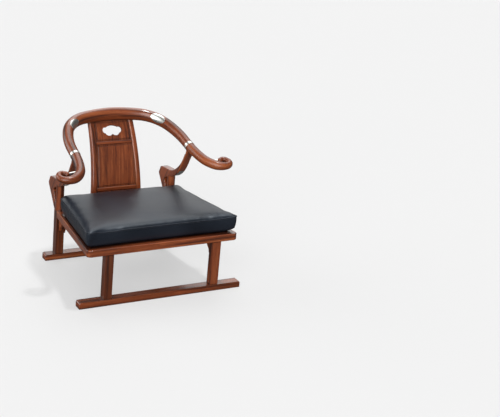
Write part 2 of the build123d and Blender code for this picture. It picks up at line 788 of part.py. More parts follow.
head_angle = splat_angle(crest_centre_z)
stile_angle = splat_angle(crest_centre_z - crest_half_height + splat_stile_sunk)
middle_half = degrees(splat_middle_width / 2 / splat_radius)
bottom_half = degrees(splat_bottom_width / 2 / splat_radius)
middle_angle = splat_angle(splat_middle_height)
bottom_angle = splat_angle(splat_bottom_height)
tongue_angle = degrees(splat_tongue / splat_radius)
tenon_angle = degrees(splat_tenon_length / splat_radius)
end_gap_angle = degrees(tenon_gap / splat_radius)
margin_angle = degrees(splat_field_margin / splat_radius)
stile_inner = splat_stile_width


def fielded_panel(low, thin_high, field_high):
    """A thin panel with tongues, and a thicker raised field that starts above the low edge."""
    thin = splat_slice(splat_panel_thickness, low - tongue_angle, thin_high)
    thin = thin & splat_front(stile_inner - splat_tongue + tenon_gap)
    field = splat_slice(splat_field_thickness, low + margin_angle, field_high)
    return thin + (field & splat_front(stile_inner + splat_field_margin))


def stile():
    """The right-hand stile, rounded on the front, grooved for the panels."""
    body = splat_slice(splat_stile_thickness, 0.0, stile_angle) & splat_front(0.0, stile_inner)
    front = body.edges().filter_by(
        lambda edge: edge.length > 200 and edge.center().Y < splat_point(splat_radius, head_angle / 2)[0])
    return fillet(front, splat_stile_round)


def splat_rail(angle, half_angle):
    """A cross rail of the splat with stub tenons into both stiles."""
    body = splat_slice(splat_rail_thickness, angle - half_angle, angle + half_angle) & splat_front(stile_inner)
    front = body.edges().filter_by(Axis.X).filter_by(
        lambda edge: edge.center().Y < splat_point(splat_radius, angle)[0] - 3)
    body = fillet(front, splat_rail_thickness / 4)
    stub_half = half_angle - tongue_angle - end_gap_angle
    stub = splat_slice(splat_panel_thickness, angle - stub_half, angle + stub_half)
    return body + (stub & splat_front(stile_inner - splat_tongue + tenon_gap))


groove_board = splat_slice(splat_panel_thickness, 0.0, head_angle) & splat_front(stile_inner - splat_tongue)
splat_stile = stile() - groove_board


def stile_end(low, high, thickness):
    """A tenon of the stile between two angles."""
    bar = splat_slice(thickness, low, high)
    return bar & splat_front(splat_tenon_side, stile_inner - splat_tenon_side)


stile_foot = stile_end(-tenon_angle, tongue_angle, splat_tenon_thickness)
stile_foot_socket = stile_end(-tenon_angle - end_gap_angle, tongue_angle, splat_tenon_thickness)
stile_head_top = splat_angle(crest_centre_z - crest_half_height + splat_tenon_length)
stile_head_low = stile_head_top - 4 * tenon_angle
stile_head = stile_end(stile_head_low, stile_head_top, splat_tenon_thickness)
stile_head_socket = stile_end(stile_head_low, stile_head_top + end_gap_angle, splat_tenon_thickness)
splat_stile = one(splat_stile - crest) + (stile_head & crest) + stile_foot
upper_low = middle_angle + middle_half
lower_low = bottom_angle + bottom_half
panel_top = splat_angle(crest_centre_z - crest_half_height + splat_tongue)
upper_field_top = splat_angle(crest_centre_z - crest_half_height - splat_field_margin)
upper_panel = fielded_panel(upper_low, panel_top, upper_field_top)


def cloud():
    """Cloud-shaped cutter through the upper panel, built from five shallow lobes."""
    w = cloud_width / 2
    h = cloud_height / 2
    right = [((0.60 * w, 0.66 * h), (0.99 * w, 0.02 * h), (0.74 * w, -0.50 * h)),
             ((0.74 * w, -0.50 * h), (0.40 * w, -1.0 * h), (0.0, -0.70 * h))]
    lines = ThreePointArc((-0.60 * w, 0.66 * h), (0, h), (0.60 * w, 0.66 * h))
    for start, middle, end in right:
        lines += ThreePointArc(start, middle, end)
    for start, middle, end in reversed(right):
        lines += ThreePointArc((-end[0], end[1]), (-middle[0], middle[1]), (-start[0], start[1]))
    angle = splat_angle(cloud_centre)
    y, z = splat_point(splat_radius, angle)
    normal = (0, -cos(radians(angle)), sin(radians(angle)))
    plane = Plane(origin=(0, y, z), x_dir=(1, 0, 0), z_dir=normal)
    return plane * extrude(make_face(lines), amount=2 * splat_stile_thickness, both=True)


upper_panel = upper_panel - cloud()
lower_high = middle_angle - middle_half
lower_panel = fielded_panel(lower_low, lower_high + tongue_angle, lower_high - margin_angle)
middle_rail = splat_rail(middle_angle, middle_half)
bottom_rail = splat_rail(bottom_angle, bottom_half)
foot_top = bottom_angle - bottom_half
foot_panel = splat_slice(splat_panel_thickness, 0.0, foot_top + tongue_angle)
foot_panel = foot_panel & splat_front(stile_inner - splat_tongue + tenon_gap)
arch_half = splat_half(splat_axis_z, stile_inner + splat_arch_margin)
arch_low = splat_axis_z - 1
arch_spring = splat_axis_z + splat_arch_spring
arch_lines = Polyline((-arch_half, arch_spring), (-arch_half, arch_low),
                      (arch_half, arch_low), (arch_half, arch_spring))
arch_lines += ThreePointArc((arch_half, arch_spring), (0, splat_axis_z + splat_arch_height),
                            (-arch_half, arch_spring))
foot_panel = foot_panel - front_cut(arch_lines, 0, far)


def rail_grooves(rail, angle, half_angle):
    """Cut the panel grooves in both edges of a splat cross rail."""
    low = splat_slice(splat_panel_thickness, angle - 2 * half_angle, angle - half_angle + tongue_angle)
    high = splat_slice(splat_panel_thickness, angle + half_angle - tongue_angle, angle + 2 * half_angle)
    return rail - (low & splat_front(stile_inner)) - (high & splat_front(stile_inner))


middle_rail = rail_grooves(middle_rail, middle_angle, middle_half)
bottom_rail = rail_grooves(bottom_rail, bottom_angle, bottom_half)
crest = crest - (splat_slice(splat_panel_thickness, upper_low, panel_top + end_gap_angle)
                 & splat_front(stile_inner - splat_tongue))
crest = crest - stile_head_socket - mirror(stile_head_socket, about=Plane.YZ)
seat_back_rail = seat_back_rail - stile_foot_socket - mirror(stile_foot_socket, about=Plane.YZ)
pair("splat_stile", splat_stile)
pieces["splat_upper_panel"] = upper_panel
pieces["splat_middle_rail"] = middle_rail
pieces["splat_lower_panel"] = lower_panel
pieces["splat_bottom_rail"] = bottom_rail
pieces["splat_foot_panel"] = foot_panel
pieces["crest_rail"] = crest
pieces["seat_front_rail"] = seat_front_rail
pieces["seat_back_rail"] = seat_back_rail


# ---------------------------------------------------------------- cushion
def cushion_outline(inset):
    """Plan outline of the cushion with rounded corners."""
    f = cushion_front_width / 2 - inset
    b = cushion_back_width / 2 - inset
    face = make_face(Polyline((-f, cushion_front + inset), (f, cushion_front + inset),
                              (b, cushion_back - inset), (-b, cushion_back - inset), close=True))
    return fillet(face.vertices(), cushion_corner)


def cushion_plane(height):
    """The seat plane raised by a height."""
    return Plane(origin=(0, 0, seat_top(0) + height), x_dir=(1, 0, 0),
                 z_dir=Vector(0, seat_slope, 1).normalized())


def cushion_layer(low, high, low_inset, high_inset):
    """One loft of the cushion between two heights over the seat."""
    return loft([cushion_plane(low) * cushion_outline(low_inset),
                 cushion_plane(high) * cushion_outline(high_inset)])


cushion = cushion_layer(soft_gap, cushion_under, cushion_tuck, 0.0)
cushion += cushion_layer(cushion_under, cushion_thickness, 0.0, 0.0)
cushion += cushion_layer(cushion_thickness, cushion_thickness + cushion_crown, 0.0, cushion_crown_inset)
pieces["seat_cushion"] = cushion

# ---------------------------------------------------------------- origin and files
boxes = [shape.bounding_box() for shape in pieces.values()]
middle_y = (min(box.min.Y for box in boxes) + max(box.max.Y for box in boxes)) / 2
os.makedirs("parts", exist_ok=True)
for name, shape in pieces.items():
    solid = one(shape)
    spare = shape.volume - solid.volume
    if spare > 0.5:
        print("loose piece in", name, round(spare, 1))
    export_step(Pos(0, -middle_y, 0) * solid, f"parts/{name}.step")
print(len(pieces), "pieces, middle_y", round(middle_y, 2))
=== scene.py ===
"""Looks of a low horseshoe-back armchair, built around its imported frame.

Metres, in the frame's own axes: X is the chair's width, Y runs from the front to the back
and Z is up. The rail is swept from its plan arcs, the cushion is a sewn leather box that a
cloth simulation fills, and the other pieces are softened copies of the frame's solids or
those solids themselves.
"""
import math
from contextlib import contextmanager
from types import SimpleNamespace

import bmesh
import bpy
from bpy.props import (BoolProperty, FloatProperty, FloatVectorProperty, IntProperty,
                       PointerProperty)
from mathutils import Matrix, Vector
from mathutils.kdtree import KDTree
from mathutils.noise import fractal


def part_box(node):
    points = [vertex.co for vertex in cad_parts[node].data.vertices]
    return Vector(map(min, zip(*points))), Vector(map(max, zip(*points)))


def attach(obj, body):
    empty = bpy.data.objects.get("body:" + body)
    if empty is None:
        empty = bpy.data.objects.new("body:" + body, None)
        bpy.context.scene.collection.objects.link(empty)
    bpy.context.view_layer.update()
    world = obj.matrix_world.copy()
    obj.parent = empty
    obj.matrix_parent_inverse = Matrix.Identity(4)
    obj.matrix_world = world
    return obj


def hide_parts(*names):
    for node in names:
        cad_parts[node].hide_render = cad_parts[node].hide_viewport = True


bl_info = {
    "name": "Horseshoe armchair",
    "version": (1, 0, 0),
    "blender": (4, 5, 0),
    "location": "3D View > Sidebar > Chair",
    "description": "Builds the wood, metal and leather of a low horseshoe-back armchair",
    "category": "Object",
}

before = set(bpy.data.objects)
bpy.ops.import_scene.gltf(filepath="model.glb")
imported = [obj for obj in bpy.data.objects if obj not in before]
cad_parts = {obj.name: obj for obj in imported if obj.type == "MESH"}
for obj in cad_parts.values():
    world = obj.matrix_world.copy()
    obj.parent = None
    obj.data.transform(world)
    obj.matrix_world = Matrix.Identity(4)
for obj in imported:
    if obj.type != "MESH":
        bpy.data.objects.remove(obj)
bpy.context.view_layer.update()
CHAIR = "chair"
CUSHION = "cushion"
SIDES = (("right", 1), ("left", -1))
MIRROR = Matrix.Scale(-1, 4, (1, 0, 0))  # turns the right half into the left

# ---------------- places from the frame
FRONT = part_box("front_runner")[0].y  # front face of the front runner
cushion_low, cushion_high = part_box("seat_cushion")
back_leg_low, back_leg_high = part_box("back_leg_right")
SEAT_FRONT = FRONT + 0.006  # front face of the seat frame
SEAT_FRONT_HEIGHT = 0.272
SEAT_SLOPE = (SEAT_FRONT_HEIGHT - back_leg_high.z) / (back_leg_low.y - SEAT_FRONT)

# plan of one half of the rail, as radius and turn, or no radius and a length: crest, corner,
# arm, straight, flare, hand, knuckle, and the scroll's three turns
RAIL_ARCS = ((0.600, 13.7), (0.165, 52.7), (0.370, 20.3), (None, 0.052), (0.517, -11.8),
             (0.125, -35.4), (0.063, -49.3), (0.031, -36.7), (0.028, -87.7), (0.0205, -104.0))
RAIL_BACK = FRONT + 0.6865  # the crest's centre line
SCARF_PLACE = 0.245  # along the rail, from the middle of the crest
SCARF_LENGTH = 0.064
SCARF_SPARE = 0.016  # swept past the scarf, and cut off again
BAND_PLACE = 0.478
EYE_BALL = 0.0135  # radius of the scroll's rounded end
OVAL = 0.0002  # how much the arms' half height is over their half thickness
PLATE_TURN = math.radians(32)
PEG_WIDTH = 0.008
CUTTER_REACH = 0.15  # more than any piece of the rail is thick


# ---------------- settings
def a_number(name, description, default, **limits):
    """A setting without a unit."""
    return FloatProperty(name=name, description=description, default=default, **limits)


def a_length(name, description, default, **limits):
    """A setting in metres."""
    return a_number(name, description, default, subtype="DISTANCE", unit="LENGTH", **limits)


def an_angle(name, description, degrees):
    """A setting that is an angle."""
    return a_number(name, description, math.radians(degrees), subtype="ANGLE")


def a_share(name, description, default):
    """A setting between nothing and all."""
    return a_number(name, description, default, min=0.0, max=1.0, subtype="FACTOR")


def a_strength(name, description, default):
    """The strength of a lamp."""
    return a_number(name, description, default, min=0.0)


def a_colour(name, description, default):
    """A colour setting."""
    return FloatVectorProperty(name=name, description=description, default=default,
                               subtype="COLOR", min=0.0, max=1.0)


def a_count(name, description, default, lowest=1):
    """A setting in whole numbers."""
    return IntProperty(name=name, description=description, default=default, min=lowest)


class RoomSettings(bpy.types.PropertyGroup):
    """Camera, floor and lamps."""
    azimuth: an_angle("Camera azimuth", "Angle round the chair, 0 is the front", -30.919)
    elevation: an_angle("Camera elevation", "Angle above the horizon", 20.702)
    tilt: an_angle("Camera tilt", "Turn about the line of sight", 5.620)
    distance: a_length("Camera distance", "From the camera to the point it looks at", 6.1066,
                       min=0.5)
    aim: FloatVectorProperty(name="Camera aim", description="Point in the middle of the picture",
                             default=(0.5406, FRONT + 0.2079, 0.30), subtype="XYZ",
                             unit="LENGTH")
    lens: a_number("Lens", "Focal length in millimetres on a 36 mm sensor", 92.05, min=10.0,
                   unit="CAMERA")
    backdrop: a_share("Backdrop grey", "Grey of the backdrop", 0.887)
    shadow_depth: a_share("Shadow depth", "Reflectance of the part of the floor that shades",
                          0.31)
    glow: a_share("Floor glow", "Grey that the floor keeps in the deepest shadow", 0.478)
    sun: a_strength("Sun", "Strength of the small lamp above the chair", 1.4)
    bounce: a_share("Floor bounce", "Share of light that the floor throws back on the chair",
                    0.10)
    room_light: a_strength("Room light", "Strength of the light from all round", 0.08)
    window: a_strength("Window", "Brightness of the wide window at the left", 2.8)
    overhead: a_strength("Overhead", "Brightness of the soft lamp above the chair", 2.6)
    front: a_strength("Front fill", "Brightness of the reflector beside the camera", 4.4)
    back: a_strength("Back wall", "Brightness of the wall behind the chair", 1.0)


class WoodSettings(bpy.types.PropertyGroup):
    """Rosewood colours and edges."""
    light: a_colour("Light wood", "Colour between the dark streaks", (0.360, 0.100, 0.032))
    middle: a_colour("Middle wood", "Main colour of the wood", (0.225, 0.050, 0.014))
    dark: a_colour("Dark streaks", "Colour of the dark streaks and pores", (0.055, 0.012, 0.004))
    softness: a_length("Edge softness", "Width of the worn arris on sawn pieces", 0.0012,
                       min=0.0001)
    seam: a_length("Joint line", "Width of the line that shows at the scarf joints", 0.0004,
                   min=0.0)


class RailSettings(bpy.types.PropertyGroup):
    """Sizes of the horseshoe rail."""
    crest_height: a_length("Crest half height", "Half the rail's height in the middle", 0.0320)
    crest_thickness: a_length("Crest half thickness", "Half the rail's thickness there", 0.0250)
    plate_height: a_length("Half height at the plates", "Half the rail's height at the scarf",
                           0.0280)
    plate_thickness: a_length("Half thickness at the plates", "Half the thickness there", 0.0260)
    arm: a_length("Arm radius", "Radius of the rail at the metal bands", 0.0226)
    hand: a_length("Hand-rest radius", "Radius at the end of the hand-rest", 0.0216)
    scroll: a_length("Scroll radius", "Radius where the scroll begins", 0.0155)
    eye: a_length("Eye radius", "Radius just before the scroll's eye", 0.0116)
    band_height: a_length("Height at the bands", "Height of the rail's centre line there", 0.572)
    rise: a_number("Rise", "Slope of the rail at the bands", 0.27)
    bow: a_number("Bow", "Extra rise towards the crest, per metre", 0.12)
    around: a_count("Faces around", "Faces around the rail", 48, 8)
    pitch: a_length("Pitch", "Length of one face along the rail", 0.004)


class CushionSettings(bpy.types.PropertyGroup):
    """Sizes and leather of the cushion."""
    leather: a_colour("Leather", "Colour of the leather", (0.0095, 0.0125, 0.0190))
    thread: a_colour("Thread", "Colour of the stitches", (0.030, 0.033, 0.040))
    back_width: a_length("Back width", "Width at the back edge", 0.622)
    height: a_length("Seam height", "Height of the top seam over the seat", 0.069)
    foot: a_length("Foot seam height", "Height of the bottom seam over the seat", 0.009)
    shoulder: a_length("Shoulder", "Rise of the rounded edge over the top seam", 0.016)
    crown: a_length("Crown", "Rise of the top panel's middle over its edge before it is filled",
                    0.014)
    pucker: a_length("Pucker", "Depth of the small creases that run into the seams", 0.0012)
    hollow: a_length("Side hollow", "How far the seams pull in between the corners", 0.004)
    across: a_count("Faces across", "Cloth faces across the cushion", 100, 8)
    deep: a_count("Faces deep", "Cloth faces from the front to the back", 66, 8)
    rows: a_count("Border rows", "Cloth faces up the border", 10, 4)
    pressure: a_number("Filling pressure", "Pressure of the filling", 4.0)
    swell: a_length("Greatest swell", "The most that a point may move", 0.010)
    frames: a_count("Settling frames", "Frames that the cloth settles for", 20)
    welt: a_length("Welt radius", "Radius of the raised seam round the top", 0.0024)
    stitch_pitch: a_length("Stitch pitch", "Distance from stitch to stitch", 0.0062)
    simulate: BoolProperty(name="Simulate", default=True,
                           description="Fill the cushion with a cloth simulation")


class MetalSettings(bpy.types.PropertyGroup):
    """Colour of the plates, bands and strips."""
    metal: a_colour("Metal", "Colour of the pale metal", (0.74, 0.75, 0.71))
    softness: a_length("Edge softness", "Width of the filed edges", 0.0004, min=0.00005)


class ChairSettings(bpy.types.PropertyGroup):
    """All settings of the armchair."""
    room: PointerProperty(type=RoomSettings)
    wood: PointerProperty(type=WoodSettings)
    rail: PointerProperty(type=RailSettings)
    cushion: PointerProperty(type=CushionSettings)
    metal: PointerProperty(type=MetalSettings)


# ---------------- node helpers
def add_node(tree, kind, inputs=None, **fields):
    """Add a node, set its fields and inputs; a socket given as an input is linked."""
    node = tree.nodes.new(kind)
    for name, value in fields.items():
        setattr(node, name, value)
    for key, value in (inputs or {}).items():
        socket = node.inputs[key]
        if isinstance(value, bpy.types.NodeSocket):
            tree.links.new(value, socket)
        else:
            socket.default_value = value
    return node


def result(tree, kind, inputs=None, **fields):
    """Add a node and give its first output."""
    return add_node(tree, kind, inputs, **fields).outputs[0]


def maths(tree, operation, a, b):
    """Output of a Math node."""
    return result(tree, "ShaderNodeMath", {0: a, 1: b}, operation=operation)


def times(tree, a, b):
    """One number times another."""
    return maths(tree, "MULTIPLY", a, b)


def plus(tree, a, b):
    """One vector plus another."""
    return result(tree, "ShaderNodeVectorMath", {0: a, 1: b}, operation="ADD")


def scaled(tree, vector, factor):
    """A vector or colour times a number."""
    return result(tree, "ShaderNodeVectorMath", {0: vector, "Scale": factor}, operation="SCALE")


def noise(tree, place, scale, detail=2.0, roughness=0.5, distortion=0.0):
    """Factor of a Noise Texture; three scales stretch it along the axes."""
    if isinstance(scale, tuple):
        place = result(tree, "ShaderNodeVectorMath", {0: place, 1: scale}, operation="MULTIPLY")
        scale = 1.0
    return result(tree, "ShaderNodeTexNoise",
                  {"Vector": place, "Scale": scale, "Detail": detail, "Roughness": roughness,
                   "Distortion": distortion})


def ramp(tree, factor, stops):
    """Color Ramp through (place, colour) stops."""
    node = add_node(tree, "ShaderNodeValToRGB", {"Fac": factor})
    elements = node.color_ramp.elements
    while len(elements) < len(stops):
        elements.new(0.5)
    for element, (place, colour) in zip(elements, stops):
        element.position = place
        element.color = (*colour, 1.0)
    return node.outputs["Color"]


def spread(tree, factor, low, high, to_low=0.0, to_high=1.0):
    """Map Range, clamped."""
    return result(tree, "ShaderNodeMapRange",
                  {"Value": factor, "From Min": low, "From Max": high, "To Min": to_low,
                   "To Max": to_high})


def blend_colours(tree, factor, a, b):
    """Mix two colours."""
    node = add_node(tree, "ShaderNodeMix", data_type="RGBA")
    for socket, value in ((node.inputs[0], factor), (node.inputs[6], a), (node.inputs[7], b)):
        if isinstance(value, bpy.types.NodeSocket):
            tree.links.new(value, socket)
        elif socket.type == "RGBA":
            socket.default_value = (*value, 1.0)
        else:
            socket.default_value = value
    return node.outputs[2]


def bump(tree, height, strength, distance):
    """Normal output of a Bump node."""
    return result(tree, "ShaderNodeBump",
                  {"Height": height, "Strength": strength, "Distance": distance})


def object_place(tree):
    """Object coordinates."""
    return add_node(tree, "ShaderNodeTexCoord").outputs["Object"]


def empty_tree(owner):
    """The cleared node tree of a material or a world."""
    owner.use_nodes = True
    owner.node_tree.nodes.clear()
    return owner.node_tree


def material(name, finish, **options):
    """A material by its name, which its finish makes the first time that it is asked for."""
    found = bpy.data.materials.get(name)
    if found is None:
        found = bpy.data.materials.new(name)
        tree = empty_tree(found)
        shader = result(tree, "ShaderNodeBsdfPrincipled", finish(tree, **options))
        add_node(tree, "ShaderNodeOutputMaterial", {"Surface": shader})
    return found


def path_tree(build, kinds):
    """The node tree that one builder makes, built the first time that it is asked for."""
    tree = bpy.data.node_groups.get(build.__name__)
    if tree is None:
        tree = bpy.data.node_groups.new(build.__name__, "GeometryNodeTree")
        tree.is_modifier = True
        for name, kind in {"Path": "Geometry", **kinds, "Material": "Material"}.items():
            tree.interface.new_socket(name, in_out="INPUT", socket_type=f"NodeSocket{kind}")
        tree.interface.new_socket("Result", in_out="OUTPUT", socket_type="NodeSocketGeometry")
        given = add_node(tree, "NodeGroupInput").outputs
        real = result(tree, "GeometryNodeRealizeInstances", {0: build(tree, given)})
        finished = result(tree, "GeometryNodeSetMaterial",
                          {"Geometry": real, "Material": given["Material"]})
        add_node(tree, "NodeGroupOutput", {0: finished})
    return tree


def follow(piece, build, kinds, values):
    """Run a node tree on a piece, with its inputs set by identifier, and make it plain."""
    nodes = piece.modifiers.new(build.__name__, "NODES")
    nodes.node_group = path_tree(build, kinds)
    for item in nodes.node_group.interface.items_tree:
        if item.item_type == "SOCKET" and item.in_out == "INPUT" and item.name in values:
            nodes[item.identifier] = values[item.name]
    return plain_mesh(piece)


# ---------------- wood
GRAIN_TURNS = {  # turns the grain's own X onto the piece's length
    "x": (0.0, 0.0, 0.0),
    "y": (0.0, 0.0, math.radians(90)),
    "z": (0.0, math.radians(90), 0.0),
}
LOG_SPREAD = (1.3, 2.9, 3.7)  # how far apart the pieces lie in the log
FACE_GRAIN = 0.12  # how fast the grain changes through a bent board
STRANDS = (7.0, 330.0, 330.0)  # fibres per metre, along and across the grain
PORES = (38.0, 900.0, 900.0)
MIDDLING = (0.3, 0.7)  # the usual spread of a noise
WOODS = {
    "rosewood_shaped": {},
    "rosewood_splat": {"shade": 0.85, "figure": 1.2, "gloss": 0.75,
                       "stretch": (3.6, 105.0, 90.0)},
    "rosewood_arm": {"shade": 0.88, "gloss": 0.42, "polish": 0.20},
    # Darker copy of the wood for both left legs: darker wood on the front leg, painted shade on
    # the back leg.
    "rosewood_dark_z": {"along": "z", "shade": 0.52},
    "rosewood_board": {"along": "x", "shade": 0.75, "gloss": 0.4},
    "rosewood_x": {"along": "x"},
    "rosewood_y": {"along": "y"},
    "rosewood_z": {"along": "z"},
}


def grain_place(tree, along):
    """Grain coordinates: along a straight piece's axis, or as they are kept on the piece."""
    if along is None:
        return add_node(tree, "ShaderNodeAttribute", attribute_name="timber").outputs["Vector"]
    turned = result(tree, "ShaderNodeMapping",
                    {"Vector": object_place(tree), "Rotation": GRAIN_TURNS[along]})
    chance = add_node(tree, "ShaderNodeObjectInfo").outputs["Random"]
    return plus(tree, turned, scaled(tree, LOG_SPREAD, chance))


def rosewood(tree, along=None, shade=1.0, figure=1.0, gloss=0.9, polish=0.14,
             stretch=(1.6, 46.0, 60.0)):
    """Oiled and lacquered rosewood: dark streaks, fine fibres and open pores along the grain,
    with painted shade in corners and grooves.
    """
    settings = bpy.context.scene.horseshoe_chair.wood
    light, middle, dark = [tuple(channel * shade for channel in colour)
                           for colour in (settings.light, settings.middle, settings.dark)]
    timber = grain_place(tree, along)
    drift = noise(tree, timber, 2.2, detail=1.0)
    bend = result(tree, "ShaderNodeCombineXYZ",
                  {1: times(tree, drift, 0.030), 2: times(tree, drift, 0.018)})
    timber = plus(tree, timber, bend)
    growth = noise(tree, timber, stretch, 3.0, 0.62, 0.5)
    strands = noise(tree, timber, STRANDS, 2.0, 0.55)
    pores = spread(tree, noise(tree, timber, PORES, 1.0), 0.60, 0.68)
    patches = noise(tree, timber, 5.0)
    colour = ramp(tree, growth, [(0.45 - 0.10 * figure, dark), (0.48, middle),
                                 (0.53, middle), (0.56 + 0.11 * figure, light)])
    tone = times(tree, spread(tree, strands, *MIDDLING, 0.80, 1.12),
                 spread(tree, patches, *MIDDLING, 0.88, 1.10))
    colour = blend_colours(tree, times(tree, pores, 0.55), scaled(tree, colour, tone), dark)
    # Painted shade: the base colour darkens where ambient occlusion finds corners, grooves and
    # joints close by.
    corner = add_node(tree, "ShaderNodeAmbientOcclusion", {"Distance": 0.016}, samples=8)
    crevice_shade = spread(tree, corner.outputs["AO"], 0.35, 0.93, 0.10, 1.0)
    height = maths(tree, "SUBTRACT", times(tree, strands, 0.35), times(tree, pores, 0.8))
    return {
        "Base Color": scaled(tree, colour, crevice_shade),
        "Roughness": maths(tree, "ADD", spread(tree, strands, *MIDDLING, 0.34, 0.44),
                           times(tree, pores, 0.12)),
        "Specular IOR Level": 0.30,
        "Coat Weight": gloss,
        "Coat Roughness": polish,
        "Coat IOR": 1.50,
        "Normal": bump(tree, height, 0.22, 0.0003),
    }


def wood_material(kind):
    """The wood material of one kind."""
    return material(kind, rosewood, **WOODS[kind])


# ---------------- metal and leather
def worn_metal(tree):
    """Pale worn metal with fine brush marks and dulled spots."""
    pale = tuple(bpy.context.scene.horseshoe_chair.metal.metal)
    dull = tuple(channel * 0.72 for channel in pale)
    place = object_place(tree)
    brush = noise(tree, place, (260.0, 260.0, 2600.0))
    wear = noise(tree, place, 90.0, detail=4.0, roughness=0.6)
    return {
        "Base Color": blend_colours(tree, spread(tree, wear, 0.42, 0.66), pale, dull),
        "Roughness": maths(tree, "ADD", spread(tree, brush, *MIDDLING, 0.24, 0.34),
                           spread(tree, wear, 0.4, 0.7, 0.0, 0.14)),
        "Metallic": 1.0,
        "Normal": bump(tree, brush, 0.12, 0.0002),
    }


def dark_leather(tree):
    """Dark leather with a fine pebble, soft creases and an even sheen."""
    base = tuple(bpy.context.scene.horseshoe_chair.cushion.leather)
    pale = tuple(channel * 1.5 + 0.002 for channel in base)
    place = object_place(tree)
    cells = add_node(tree, "ShaderNodeTexVoronoi", {"Vector": place, "Scale": 620.0},
                     feature="DISTANCE_TO_EDGE")
    pebble = spread(tree, cells.outputs["Distance"], 0.0, 0.22)
    creases = noise(tree, place, (16.0, 22.0, 30.0), 5.0, 0.55, 0.6)
    rubbed = noise(tree, place, 5.5, detail=3.0)
    between = maths(tree, "SUBTRACT", 0.35, times(tree, pebble, 0.35))
    colour = blend_colours(tree, spread(tree, rubbed, 0.38, 0.66), base, pale)
    height = maths(tree, "ADD", times(tree, pebble, 0.30), times(tree, creases, 1.5))
    return {
        "Base Color": blend_colours(tree, between, colour, (0.005, 0.006, 0.008)),
        "Roughness": maths(tree, "ADD", spread(tree, rubbed, *MIDDLING, 0.31, 0.41),
                           times(tree, pebble, -0.05)),
        "Specular IOR Level": 0.32,
        "Specular Tint": (0.82, 0.92, 1.0, 1.0),
        "Normal": bump(tree, height, 0.28, 0.0006),
    }


def dark_thread(tree):
    """Twisted dark thread."""
    base = tuple(bpy.context.scene.horseshoe_chair.cushion.thread)
    pale = tuple(channel * 1.8 for channel in base)
    twist = noise(tree, object_place(tree), 1800.0, detail=1.0)
    return {"Base Color": blend_colours(tree, twist, base, pale), "Roughness": 0.6}


# ---------------- mesh helpers
MERGE = 1e-6  # corners of a swept piece that are this near are one
SOLID_MERGE = 2e-6  # corners of a frame solid that are this near are one
FLAT_TURN = math.radians(0.4)  # faces that turn less than this are one


def link(name, data):
    """Put a new object in the scene."""
    made = bpy.data.objects.new(name, data)
    bpy.context.scene.collection.objects.link(made)
    return made


@contextmanager
def opened(mesh):
    """Edit a mesh's corners, edges and faces, and put them back."""
    work = bmesh.new()
    work.from_mesh(mesh)
    yield work
    work.to_mesh(mesh)
    work.free()


def plain_mesh(piece):
    """Turn a piece with its modifiers into a plain mesh of its own."""
    graph = bpy.context.evaluated_depsgraph_get()
    mesh = bpy.data.meshes.new_from_object(piece.evaluated_get(graph))
    mesh.name = piece.name
    old = piece.data
    piece.modifiers.clear()
    piece.data = mesh
    bpy.data.meshes.remove(old)
    return piece


def smooth(mesh, sharp_degrees=35.0):
    """Smooth shading with sharp edges kept."""
    mesh.polygons.foreach_set("use_smooth", [True] * len(mesh.polygons))
    mesh.set_sharp_from_angle(angle=math.radians(sharp_degrees))


def log_shift(name):
    """A fixed place in the log for a piece, from its name."""
    number = sum((i + 1) * ord(letter) for i, letter in enumerate(name))
    return Vector(((number % 97) * 0.031, (number % 89) * 0.043, (number % 83) * 0.037))


def keep_timber(mesh, along, name, flat=False):
    """Store grain coordinates: along a direction, and two across it.

    The grain of a flat board that is bent follows its face."""
    ahead = Vector(along).normalized()
    across = (Vector((1, 0, 0)) - ahead * ahead.x if flat else ahead.orthogonal()).normalized()
    third = ahead.cross(across) * (FACE_GRAIN if flat else 1.0)
    shift = log_shift(name)
    attribute = mesh.attributes.new("timber", "FLOAT_VECTOR", "POINT")
    for vertex, value in zip(mesh.vertices, attribute.data):
        place = vertex.co
        value.vector = Vector((place.dot(ahead), place.dot(across), place.dot(third))) + shift


def stand_for(piece, node, body=CHAIR):
    """Let a finished piece ride on a body in the place of its frame solid."""
    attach(piece, body)
    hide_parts(node)


def soften(piece, width, segments=2, sharp_degrees=30.0, even=False):
    """Round a piece's arrises with a bevel."""
    bevel = piece.modifiers.new("arris", "BEVEL")
    bevel.width = width
    bevel.segments = segments
    bevel.limit_method = "ANGLE"
    bevel.angle_limit = math.radians(sharp_degrees)
    bevel.harden_normals = even


def softened(node, finish, width, grain=(0, 0, 1), segments=2, flat=False):
    """A copy of a frame solid with merged faces and softened edges, which stands for it."""
    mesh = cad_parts[node].data.copy()
    mesh.name = f"{node}_finished"
    with opened(mesh) as work:
        bmesh.ops.remove_doubles(work, verts=work.verts, dist=SOLID_MERGE)
        bmesh.ops.dissolve_limit(work, angle_limit=FLAT_TURN, verts=work.verts,
                                 edges=work.edges)
    if "custom_normal" in mesh.attributes:
        mesh.attributes.remove(mesh.attributes["custom_normal"])
    mesh.materials.clear()
    mesh.materials.append(finish)
    keep_timber(mesh, grain, node, flat)
    smooth(mesh)
    piece = link(f"{node}_finished", mesh)
    soften(piece, width, segments, 38, even=True)
    stand_for(piece, node)


def dress(node, kind):
    """Give a frame solid its wood."""
    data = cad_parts[node].data
    data.materials.clear()
    data.materials.append(wood_material(kind))


# ---------------- rail
def arc_length(radius, turn):
    """Length of one stretch of the rail's plan."""
    return turn if radius is None else radius * math.radians(abs(turn))


def rail_length(stretches):
    """Length of the first stretches of the rail."""
    return sum(arc_length(radius, turn) for radius, turn in RAIL_ARCS[:stretches])


HAND_END, SCROLL_START, RAIL_END = rail_length(6), rail_length(8), rail_length(len(RAIL_ARCS))


